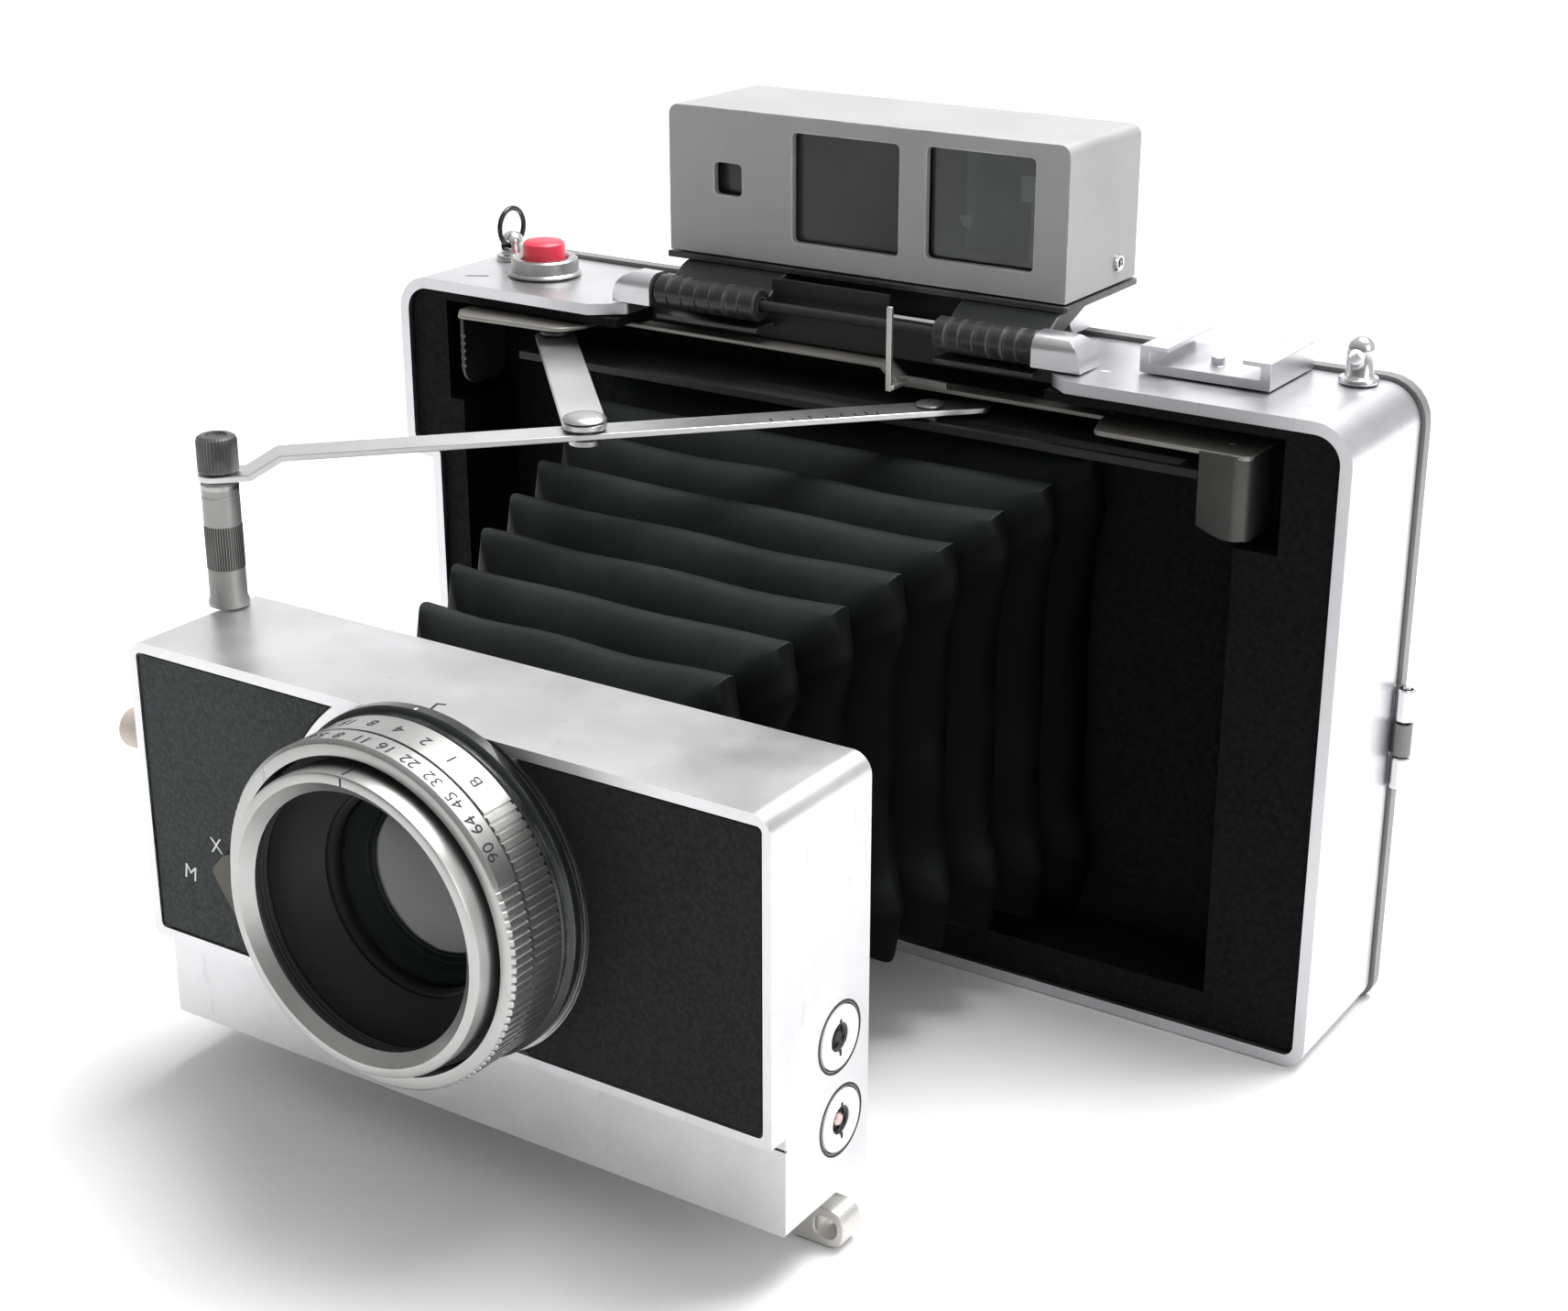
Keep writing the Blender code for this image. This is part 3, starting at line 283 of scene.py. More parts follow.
def make_materials():
    metal("shell_metal", (0.60, 0.60, 0.62), (0.74, 0.74, 0.76), 0.34, (0.04, 1, 1))
    metal("flange_metal", (0.60, 0.58, 0.55), (0.76, 0.75, 0.72), 0.40, (1, 0.06, 1))
    metal("standard_metal", (0.62, 0.62, 0.63), (0.78, 0.78, 0.79), 0.36, (0.05, 1, 1))
    metal("strut_metal", (0.56, 0.56, 0.56), (0.70, 0.70, 0.70), 0.34, (0.05, 0.3, 1),
          grain=0.00003)
    metal("bright", (0.66, 0.66, 0.67), (0.84, 0.84, 0.85), 0.17, (1, 1, 1), scratch=0.2)
    metal("dial_metal", (0.40, 0.40, 0.39), (0.55, 0.55, 0.54), 0.36, (1, 0.1, 1))
    # Two copies of one tab metal: the dark one paints shade on the tabs' hanging pads and, as painted shade,
    # in the dial knurl valleys, and is also used for the post sleeve; the light one paints light on the tab
    # tops and the slide bar.
    metal("dark_metal_and_painted_shade", (0.045, 0.045, 0.043), (0.095, 0.094, 0.09), 0.40, (0.1, 1, 1),
          metallic=0.7)
    metal("tab_top_painted_light", (0.24, 0.23, 0.21), (0.36, 0.35, 0.32), 0.42, (0.1, 1, 1), metallic=0.55)
    metal("lever_grey", (0.060, 0.056, 0.048), (0.11, 0.10, 0.086), 0.42, (1, 1, 1),
          metallic=0.4)
    metal("post_grey", (0.30, 0.30, 0.29), (0.42, 0.42, 0.41), 0.44, (1, 1, 0.1), metallic=0.6)
    metal("bar_grey", (0.20, 0.20, 0.20), (0.34, 0.34, 0.33), 0.38, (0.05, 1, 1), metallic=0.8)
    metal("door_grey", (0.15, 0.15, 0.155), (0.25, 0.25, 0.255), 0.42, (0.05, 1, 1),
          metallic=0.35)
    paint("finder_paint", (0.30, 0.30, 0.30), (0.37, 0.37, 0.37), 0.46, 2200.0, 0.00003,
          metallic=0.25, lighter_edges=(0.66, 0.66, 0.66))
    paint("black_paint", (0.010, 0.011, 0.012), (0.030, 0.032, 0.033), 0.36,
          lighter_edges=(0.20, 0.20, 0.20))
    paint("black_matt", (0.006, 0.006, 0.007), (0.016, 0.017, 0.018), 0.62)
    paint("black_gloss", (0.008, 0.009, 0.009), (0.018, 0.020, 0.020), 0.20,
          lighter_edges=(0.12, 0.13, 0.13))
    paint("white_enamel", (0.74, 0.74, 0.73), (0.86, 0.86, 0.85), 0.38)
    paint("ink", (0.004, 0.004, 0.005), (0.010, 0.010, 0.012), 0.6)
    paint("white_ink", (0.68, 0.69, 0.69), (0.82, 0.82, 0.82), 0.5)
    paint("red_plastic", (0.62, 0.018, 0.045), (0.78, 0.045, 0.08), 0.38, 900.0, 0.00003,
          lighter_edges=(0.86, 0.30, 0.32))
    paint("beige_plastic", (0.56, 0.47, 0.40), (0.66, 0.57, 0.50), 0.42)
    paint("dark_plastic", (0.030, 0.031, 0.033), (0.055, 0.056, 0.058), 0.5, 1300.0, 0.00004)
    paint("pink_metal", (0.62, 0.45, 0.43), (0.72, 0.56, 0.53), 0.35, metallic=0.7)
    # Three copies of one leatherette: the standard's left panel is a lighter copy with painted sheen, and its
    # right panel and the body front are darker copies with painted shade.
    for name, dark, light, rough, scale, shine in (
            ("front_grain_painted_shade", (0.0012, 0.0014, 0.0015), (0.0038, 0.0044, 0.0046), 0.68, 1050.0, 0.14),
            ("panel_grain_painted_sheen", (0.014, 0.0185, 0.0185), (0.024, 0.031, 0.031), 0.54, 1250.0, 0.34),
            ("panel_grain_painted_shade", (0.0035, 0.004, 0.0042), (0.009, 0.010, 0.0105), 0.6, 1250.0, 0.22)):
        leatherette(name, dark, light, rough, scale, shine)
    leatherette("door_grain", (0.012, 0.013, 0.014), (0.034, 0.036, 0.037), 0.58, 900.0)
    bellows_cloth()
    glass("window_glass", (0.30, 0.33, 0.34), 0.02, 1.5, 1.0)
    glass("frosted_glass", (0.020, 0.024, 0.021), 0.22, 1.45, 0.0)
    glass("lens_glass", (0.004, 0.006, 0.006), 0.03, 1.7, 0.0)
    glass("mirror_glass", (0.20, 0.22, 0.24), 0.08, 1.6, 0.0)


# ---------------------------------------------------------------- mesh tools

def rounded(corners, segments=8):
    """A closed outline from (a, b, radius) corners, with each radius drawn as an arc."""
    points = []
    count = len(corners)
    for i, (a, b, radius) in enumerate(corners):
        here = Vector((a, b))
        before = Vector(corners[i - 1][:2])
        after = Vector(corners[(i + 1) % count][:2])
        if radius <= 0.0:
            points.append((a, b))
            continue
        one, two = (before - here).normalized(), (after - here).normalized()
        half = one.angle(two) / 2
        reach = radius / math.tan(half)
        centre = here + (one + two).normalized() * (radius / math.sin(half))
        start, end = here + one * reach - centre, here + two * reach - centre
        swing = start.angle_signed(end)
        for k in range(segments + 1):
            arm = Matrix.Rotation(-swing * k / segments, 2) @ start
            points.append(tuple(centre + arm))
    return points


def rounded_box(a, b, low_radius, high_radius, segments=8):
    """The outline of a rectangle, with one corner radius at the low end of b and one at the high end."""
    return rounded([(a[0], b[0], low_radius), (a[1], b[0], low_radius), (a[1], b[1], high_radius),
                    (a[0], b[1], high_radius)], segments)


FACING = {
    "X": Matrix(((0, 0, 1), (1, 0, 0), (0, 1, 0))).to_4x4(),
    "Y": Matrix(((1, 0, 0), (0, 0, -1), (0, 1, 0))).to_4x4(),
    "Z": Matrix.Identity(4),
}


def prism(outlines, low, high, axis):
    """A mesh extruded along an axis from an outer outline and any holes in it."""
    curve = bpy.data.curves.new("outline", "CURVE")
    curve.dimensions = "2D"
    curve.fill_mode = "BOTH"
    for outline in outlines:
        spline = curve.splines.new("POLY")
        spline.points.add(len(outline) - 1)
        for point, (a, b) in zip(spline.points, outline):
            point.co = (a * MM, b * MM, 0.0, 1.0)
        spline.use_cyclic_u = True
    curve.extrude = (high - low) / 2 * MM
    carrier = bpy.data.objects.new("outline", curve)
    bpy.context.scene.collection.objects.link(carrier)
    bpy.context.view_layer.update()
    mesh = bpy.data.meshes.new_from_object(carrier.evaluated_get(bpy.context.evaluated_depsgraph_get()))
    bpy.data.objects.remove(carrier)
    middle = (low + high) / 2 * MM
    shift = Matrix.Translation({"X": (middle, 0, 0), "Y": (0, middle, 0), "Z": (0, 0, middle)}[axis])
    mesh.transform(shift @ FACING[axis])
    return tidied(mesh)


def tidied(mesh, angle=0.004):
    """Welds a mesh, joins its flat faces and turns its faces outward."""
    work = bmesh.new()
    work.from_mesh(mesh)
    bmesh.ops.remove_doubles(work, verts=work.verts, dist=1e-6)
    bmesh.ops.dissolve_limit(work, angle_limit=angle, verts=work.verts, edges=work.edges)
    bmesh.ops.recalc_face_normals(work, faces=work.faces)
    work.to_mesh(mesh)
    work.free()
    return mesh


def block(x, y, z):
    return prism([[(x[0], y[0]), (x[1], y[0]), (x[1], y[1]), (x[0], y[1])]], z[0], z[1], "Z")


TURN = {
    "X": lambda a, b, h: (h, a, b), "-X": lambda a, b, h: (-h, -a, b),
    "-Y": lambda a, b, h: (a, -h, b), "Y": lambda a, b, h: (-a, h, b),
    "Z": lambda a, b, h: (a, b, h), "-Z": lambda a, b, h: (a, -b, -h),
}


def lathe(profile, centre, axis, count=72, wave=None):
    """A mesh turned from a closed profile of (radius, height); wave changes the radii round the turn."""
    outer = max(r for r, _ in profile)
    work = bmesh.new()
    rings = []
    for radius, height in profile:
        if radius < 1e-6:
            places = [(0.0, 0.0)]
        else:
            places = []
            for k in range(count):
                turn = math.tau * k / count
                here = radius
                if wave and radius > outer - 0.45:
                    here += wave(turn)
                places.append((here * math.cos(turn), here * math.sin(turn)))
        ring = []
        for a, b in places:
            x, y, z = TURN[axis](a, b, height)
            ring.append(work.verts.new(((centre[0] + x) * MM, (centre[1] + y) * MM, (centre[2] + z) * MM)))
        rings.append(ring)
    pairs = list(zip(rings, rings[1:]))
    if len(rings[0]) > 1 and len(rings[-1]) > 1:
        pairs.append((rings[-1], rings[0]))
    for one, two in pairs:
        if len(one) == 1 and len(two) == 1:
            continue
        for k in range(count):
            n = (k + 1) % count
            face = [one[k % len(one)], one[n % len(one)], two[n % len(two)], two[k % len(two)]]
            face = [v for i, v in enumerate(face) if v not in face[:i]]
            work.faces.new(face)
    bmesh.ops.recalc_face_normals(work, faces=work.faces)
    mesh = bpy.data.meshes.new("turned")
    work.to_mesh(mesh)
    work.free()
    return mesh


def bore(radius, low, high, centre, axis, count=48):
    """A plain cylinder, for cutting a round hole."""
    return lathe([(0, low), (radius, low), (radius, high), (0, high)], centre, axis, count)


def joined(*meshes):
    """Several meshes as one, left as separate closed shells."""
    work = bmesh.new()
    for mesh in meshes:
        work.from_mesh(mesh)
    out = bpy.data.meshes.new("joined")
    work.to_mesh(out)
    work.free()
    return out


def combine(mesh, others, operation="DIFFERENCE"):
    """Cuts the other meshes from a mesh, or adds them to it."""
    body = bpy.data.objects.new("work", mesh)
    bpy.context.scene.collection.objects.link(body)
    tools = []
    for other in others:
        tool = bpy.data.objects.new("tool", other)
        bpy.context.scene.collection.objects.link(tool)
        tools.append(tool)
        step = body.modifiers.new("step", "BOOLEAN")
        step.operation = operation
        step.object = tool
        step.solver = "EXACT"
    bpy.context.view_layer.update()
    result = bpy.data.meshes.new_from_object(body.evaluated_get(bpy.context.evaluated_depsgraph_get()))
    for obj in (body, *tools):
        bpy.data.objects.remove(obj)
    return tidied(result)


def piece(name, mesh, look, body, replaces=(), bevel=0.0, segments=3, sharp=34.0, second=None):
    """Puts a mesh in the scene as a piece of the object, with soft edges and its material."""
    obj = bpy.data.objects.new(name, mesh)
    bpy.context.scene.collection.objects.link(obj)
    mesh.name = name
    mesh.materials.clear()
    mesh.materials.append(MATERIALS[look])
    if second:
        mesh.materials.append(MATERIALS[second])
    mesh.polygons.foreach_set("use_smooth", [True] * len(mesh.polygons))
    mesh.set_sharp_from_angle(angle=math.radians(sharp))
    if bevel:
        soft = obj.modifiers.new("soft_edges", "BEVEL")
        soft.width = bevel * MM
        soft.segments = segments
        soft.limit_method = "ANGLE"
        soft.angle_limit = math.radians(sharp)
        soft.harden_normals = True
    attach(obj, body)
    if replaces:
        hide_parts(*replaces)
    return obj


def soften(node, look, bevel, segments=3, sharp=34.0):
    """A CAD node's shape with softened edges."""
    mesh = NODES[node].data.copy()
    mesh.transform(NODES[node].matrix_world)
    return piece(node + "_soft", tidied(mesh), look, BODY_OF[node], (node,), bevel, segments, sharp)


def lettering(name, words, size, place, look, body, depth=0.02):
    """Raised lettering: place turns flat text points, in millimetres, into points on the object."""
    curve = bpy.data.curves.new(name, "FONT")
    curve.body = words
    curve.size = size
    curve.align_x = "CENTER"
    curve.align_y = "CENTER"
    curve.extrude = depth
    carrier = bpy.data.objects.new(name, curve)
    bpy.context.scene.collection.objects.link(carrier)
    bpy.context.view_layer.update()
    mesh = bpy.data.meshes.new_from_object(carrier.evaluated_get(bpy.context.evaluated_depsgraph_get()))
    bpy.data.objects.remove(carrier)
    for vertex in mesh.vertices:
        vertex.co = Vector(place(*vertex.co)) * MM
    return piece(name, mesh, look, body)


# ---------------------------------------------------------------- body

def body_outline(inset, segments=12):
    left, right = -HALF_WIDTH + inset, HALF_WIDTH - inset
    low, high = inset, HEIGHT - inset
    ledge = 74.0 + inset
    step = left + 6.0
    top, bottom = max(6.5 - inset, 0.5), max(3.8 - inset, 0.5)
    return rounded([(step, low, bottom), (right, low, bottom), (right, high, top), (left, high, top),
                    (left, ledge, max(4.6 - inset, 0.5)), (step, ledge, min(0.4 + inset, 1.2))], segments)


def body():
    shell = prism([body_outline(0.0), body_outline(2.0)], FRONT, BACK, "Y")
    gap = prism([rounded([(-50.5, FRONT - 1.0, 0.0), (46.0, FRONT - 1.0, 0.0), (40.8, FRONT + 3.2, 1.5),
                          (40.8, -2.0, 0.0), (-43.7, -2.0, 0.0), (-43.7, FRONT + 4.4, 1.5)])],
                102.0, 112.0, "Z")
    shell = combine(shell, [
        gap, block((-90.0, -83.0), (11.5, 16.0), (10.0, 68.0)),
        bore(2.2, 104, 110, (*RELEASE_AT, 0), "Z", 40), bore(4.0, -2, 4, TRIPOD_AT, "Z", 40)])
    piece("body_shell", shell, "shell_metal", "housing", ("housing_shell",), 0.45, 3, 40.0)
    # The body front's leatherette is a darker copy with painted shade.
    soften("front_panel", "front_grain_painted_shade", 0.35)
    soften("film_gate", "black_matt", 0.15)
    soften("guide_rail", "black_matt", 0.15)
    cover = [(-2.2, 108.32), (5.4, 108.32), (5.4, 108.8), (-3.0, 108.8), (-3.0, 104.2), (-2.2, 104.2)]
    piece("hinge_cover", prism([cover], -43.2, 40.3, "X"), "black_matt", "housing", bevel=0.12)
    scuff = prism([rounded([(46.4, -5.5, 0.2), (48.4, -5.2, 0.2), (48.0, -4.8, 0.2), (46.9, -4.9, 0.2)])],
                  HEIGHT - 0.05, HEIGHT + 0.02, "Z")
    piece("body_top_scuff", scuff, "white_ink", "housing")
    line = prism([[(-81.5, -8.9), (-81.3, -8.3), (-77.9, -6.2), (-77.8, -6.8)]],
                 HEIGHT - 0.05, HEIGHT + 0.03, "Z")
    piece("body_top_line", line, "ink", "housing")
    piece("tripod_bush", lathe([(3.7, 6.5), (3.7, 0.2), (3.45, 0.0), (3.1, 0.2), (3.1, 1.0), (3.3, 1.3),
                                (3.1, 1.6), (3.3, 1.9), (3.1, 2.2), (3.3, 2.5), (3.1, 2.8), (3.3, 3.1),
                                (3.1, 3.4), (3.1, 6.5)], TRIPOD_AT, "Z", 48),
          "bright", "housing", ("tripod_socket",))


def top_fittings():
    for name, x, y, tall, eye in (("lug_left", -83.1, 7.1, 5.5, 2.9), ("lug_right", 83.8, 10.1, 7.6, 4.6)):
        dome = [(2.2 * math.cos(a), tall - 2.2 + 2.2 * math.sin(a))
                for a in [math.radians(d) for d in (0, 15, 30, 45, 60, 75)]] + [(0.0, tall)]
        profile = [(0.0, 0.3), (3.2, 0.3), (3.2, 0.8), (3.0, 1.1), (2.4, 1.3), (2.2, 1.6)] + dome
        post = lathe(profile, (x, y, HEIGHT), "Z", 48)
        hole = bore(1.25, -6, 6, (x, y, HEIGHT + eye), "Y", 32)
        piece(name + "_post", combine(post, [hole]), "bright", "housing", (name,), 0.12, 2)
    ring = bmesh.new()
    loops = []
    for k in range(48):
        turn = math.tau * k / 48
        loop = []
        for j in range(12):
            phi = math.tau * j / 12
            reach = 3.5 + 0.5 * math.cos(phi)
            spot = (-83.1 + 0.5 * math.sin(phi), 7.1 + reach * math.sin(turn),
                    HEIGHT + 6.15 - reach * math.cos(turn))
            loop.append(ring.verts.new([value * MM for value in spot]))
        loops.append(loop)
    for k in range(48):
        one, two = loops[k], loops[(k + 1) % 48]
        for j in range(12):
            ring.faces.new((one[j], one[(j + 1) % 12], two[(j + 1) % 12], two[j]))
    bmesh.ops.recalc_face_normals(ring, faces=ring.faces)
    mesh = bpy.data.meshes.new("ring")
    ring.to_mesh(mesh)
    ring.free()
    piece("wire_ring", mesh, "black_gloss", "ring", ("strap_ring",))

    soften("accessory_shoe", "shell_metal", 0.3)
    collar = [(6.1, 3.1), (5.8, 3.4), (4.7, 3.4), (4.3, 3.0), (4.3, 0.3), (6.7, 0.3), (6.7, 0.6), (6.3, 1.0)]
    button = [(0.0, 6.6), (2.2, 6.55), (3.4, 6.35), (3.8, 6.0), (3.9, 5.5), (3.9, 2.8), (1.6, 2.8),
              (1.6, -3.2), (0.0, -3.2)]
    place = (*RELEASE_AT, HEIGHT)
    piece("collar", lathe(collar, place, "Z", 72), "dial_metal", "housing", ("release_collar",))
    piece("red_button", lathe(button, place, "Z", 64), "red_plastic", "release", ("release_button",))


# ---------------------------------------------------------------- film side

def film_side():
    soften("door_frame", "door_grey", 0.35)
    soften("door_panel", "door_grain", 0.3)
    soften("pack_spring", "bright", 0.1)
    soften("roller_frame", "bright", 0.15)
    soften("door_latch", "shell_metal", 0.3)
    ribs = [block((-95.2, -94.95), (4.6, 12.4), (z, z + 0.6)) for z in (85.2, 86.6, 88.0, 89.4, 90.8)]
    piece("latch_ribs", joined(*ribs), "black_paint", "latch", bevel=0.08)
    for name, body_name, y in (("roller_front", "front_roller", 9.5), ("roller_rear", "rear_roller", 17.2)):
        profile = [(0.0, -29.9), (1.4, -29.9), (1.4, -28.6), (3.3, -28.6), (3.6, -28.2), (3.6, 28.2),
                   (3.3, 28.6), (1.4, 28.6), (1.4, 29.9), (0.0, 29.9)]
        piece(name + "_turned", lathe(profile, (-78.0, y, 39.0), "Z", 64), "bright", body_name, (name,))
    knuckle = [(1.5, 2.6), (1.3, 2.8), (1.05, 2.8), (1.05, -2.8), (1.3, -2.8), (1.5, -2.6)]
    for name, level in (("door_knuckle_low", 43.0), ("door_knuckle_high", 55.0)):
        turned = lathe(knuckle, (94.8, 14.35, level), "Z", 40)
        piece(name + "_turned", turned, "bright", "housing", (name,))
    piece("door_pin", lathe([(0.0, -9.2), (0.6, -9.2), (0.75, -9.0), (0.75, 9.0), (0.6, 9.2), (0.0, 9.2)],
                            (94.8, 14.35, 49.0), "Z", 32), "bright", "housing", ("door_hinge_pin",))


# ---------------------------------------------------------------- bellows

def bellows():
    """A pleated tube of coated cloth: rounded ridges, box-pleated corners and slightly uneven sides."""
    pleats = 8
    back, front = 1.5, -88.7
    depth = 5.5
    wall = 0.8
    back_box = (-54.0, 49.0, 12.0, 95.0)
    front_box = (-30.0, 28.0, 24.0, 76.0)
    steps = []
    length = front - back
    for index in range(pleats):
        for share in (0.0, 0.06, 0.14, 0.24, 0.34, 0.43, 0.5, 0.57, 0.66, 0.76, 0.86, 0.94):
            steps.append(((index + share) / pleats, 1.0 - math.sin(math.pi * share) ** 0.85))
    steps.append((1.0, 1.0))
    top_count, side_count = 16, 12

    def outline(share, pleat, inward, index):
        low_x, high_x, low_z, high_z = [a + (b - a) * share for a, b in zip(back_box, front_box)]
        inset = depth * pleat + inward
        out = 1.0 - pleat
        side = 1.6 * (0.6 + 0.4 * out)
        drop = 5.2 + 4.4 * out
        low_x, high_x, low_z, high_z = low_x + inset, high_x - inset, low_z + inset, high_z - inset
        wobble = 0.34 * out * math.sin(5.0 * share * math.tau + index)
        hollow = 0.4 + 2.3 * out
        points = []

        def run(ax, az, bx, bz, count, sag, normal):
            for k in range(count):
                t = k / count
                bow = sag * math.sin(math.pi * t) ** 0.4 + wobble * math.sin(math.tau * 2 * t + index)
                points.append((ax + (bx - ax) * t + normal[0] * bow, az + (bz - az) * t + normal[1] * bow))

        run(low_x + side, low_z, high_x - side, low_z, top_count, 0.2, (0, 1))
        run(high_x - side, low_z, high_x, low_z + drop, 3, 0.0, (0, 0))
        run(high_x, low_z + drop, high_x, high_z - drop, side_count, hollow, (-1, 0))
        run(high_x, high_z - drop, high_x - side, high_z, 3, 0.0, (0, 0))
        run(high_x - side, high_z, low_x + side, high_z, top_count, 0.35, (0, -1))
        run(low_x + side, high_z, low_x, high_z - drop, 3, 0.0, (0, 0))
        run(low_x, high_z - drop, low_x, low_z + drop, side_count, hollow, (1, 0))
        run(low_x, low_z + drop, low_x + side, low_z, 3, 0.0, (0, 0))
        return points

    work = bmesh.new()
    skins = []
    for inward in (0.0, wall):
        skin = []
        for index, (share, pleat) in enumerate(steps):
            y = back + length * share
            ring = [work.verts.new((x * MM, y * MM, z * MM))
                    for x, z in outline(share, pleat, inward, index // 12)]
            skin.append(ring)
        skins.append(skin)
    count = len(skins[0][0])
    for skin in skins:
        for one, two in zip(skin, skin[1:]):
            for k in range(count):
                work.faces.new((one[k], one[(k + 1) % count], two[(k + 1) % count], two[k]))
    for end in (0, -1):
        outer, inner = skins[0][end], skins[1][end]
        for k in range(count):
            work.faces.new((outer[k], outer[(k + 1) % count], inner[(k + 1) % count], inner[k]))
    bmesh.ops.recalc_face_normals(work, faces=work.faces)
    mesh = bpy.data.meshes.new("bellows")
    work.to_mesh(mesh)
    work.free()
    obj = piece("pleated_bellows", mesh, "bellows_cloth", "housing", ("bellows",), sharp=60.0)
    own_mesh(obj)


# ---------------------------------------------------------------- linkage and focusing slide

def along(start, degrees, length):
    turn = math.radians(degrees)
    return (start[0] + length * math.cos(turn), start[1] + length * math.sin(turn))


def turned_about(mesh, degrees, x, y):
    mesh.transform(Matrix.Translation((x * MM, y * MM, 0)) @ Matrix.Rotation(math.radians(degrees), 4, "Z"))
    return mesh


def linkage():
    middle = along(LINK_PIVOT, -REST_ANGLE, ARM)
    foot = along(middle, 180 + REST_ANGLE, ARM)
    slide = along(middle, REST_ANGLE, ARM)
    half = 3.55
    end = half - 0.02
    bar = prism([rounded_box((-half, ARM + half), (-half, half), end, end, 16)], 99.6, 100.6, "Z")
    turned_about(bar, -REST_ANGLE, *LINK_PIVOT)
    piece("link_bar", bar, "strut_metal", "link", ("fold_link",), 0.18, 3)
    rivet = [(0.0, 101.9), (1.6, 101.85), (2.6, 101.7), (3.3, 101.4), (3.6, 101.0), (3.6, 100.9),
             (1.5, 100.9), (1.5, 97.8), (2.6, 97.8), (2.6, 97.0), (0.0, 97.0)]
    head = [(0.0, 101.8), (2.2, 101.8), (2.8, 101.4), (2.8, 100.9), (1.5, 100.9), (1.5, 96.2), (0.0, 96.2)]
    pin = [(0.0, 99.95), (1.8, 99.95), (2.3, 99.8), (2.3, 99.5), (1.3, 99.5), (1.3, 95.4), (0.0, 95.4)]
    for name, profile, place, count, look, body_name, node in (
            ("rivet", rivet, middle, 64, "dial_metal", "link", "link_rivet"),
            ("pivot_head", head, LINK_PIVOT, 48, "black_paint", "housing", "link_pivot_post"),
            ("guide_pin", pin, slide, 40, "dial_metal", "strut", "strut_guide_pin")):
        piece(name, lathe(profile, (*place, 0.0), "Z", count), look, body_name, (node,))
    side = prism([[(-60.8, 95.4), (-52.8, 95.4), (-47.8, 98.2), (67.5, 98.2), (67.5, 99.2), (-48.2, 99.2),
                   (-53.2, 96.4), (-60.8, 96.4)]], -3.1, 3.1, "Y")
    plan = prism([rounded([(-60.8, -3.1, 2.9), (67.5, -3.1, 2.0), (67.5, 3.1, 2.0), (-60.8, 3.1, 2.9)], 10)],
                 90.0, 105.0, "Z")
    strut = combine(side, [plan], "INTERSECT")
    turned_about(strut, REST_ANGLE, *middle)
    holes = [bore(radius, 90, 105, (*place, 0.0), "Z", 32)
             for place, radius in ((middle, 1.9), (slide, 1.65), (foot, 1.75))]
    piece("strut_bar", combine(strut, holes), "strut_metal", "strut", ("fold_strut",), 0.18, 3)
    marks = []
    for reach, long in ((30.0, 1.2), (33.5, 0.8), (36.5, 1.2), (39.3, 0.8), (41.8, 1.2), (44.0, 0.8),
                        (46.0, 1.2), (47.8, 0.8)):
        mark = block((reach, reach + 0.35), (-2.6, -2.6 + long * 1.6), (99.19, 99.22))
        marks.append(turned_about(mark, REST_ANGLE, *middle))
    piece("strut_marks", joined(*marks), "ink", "strut")


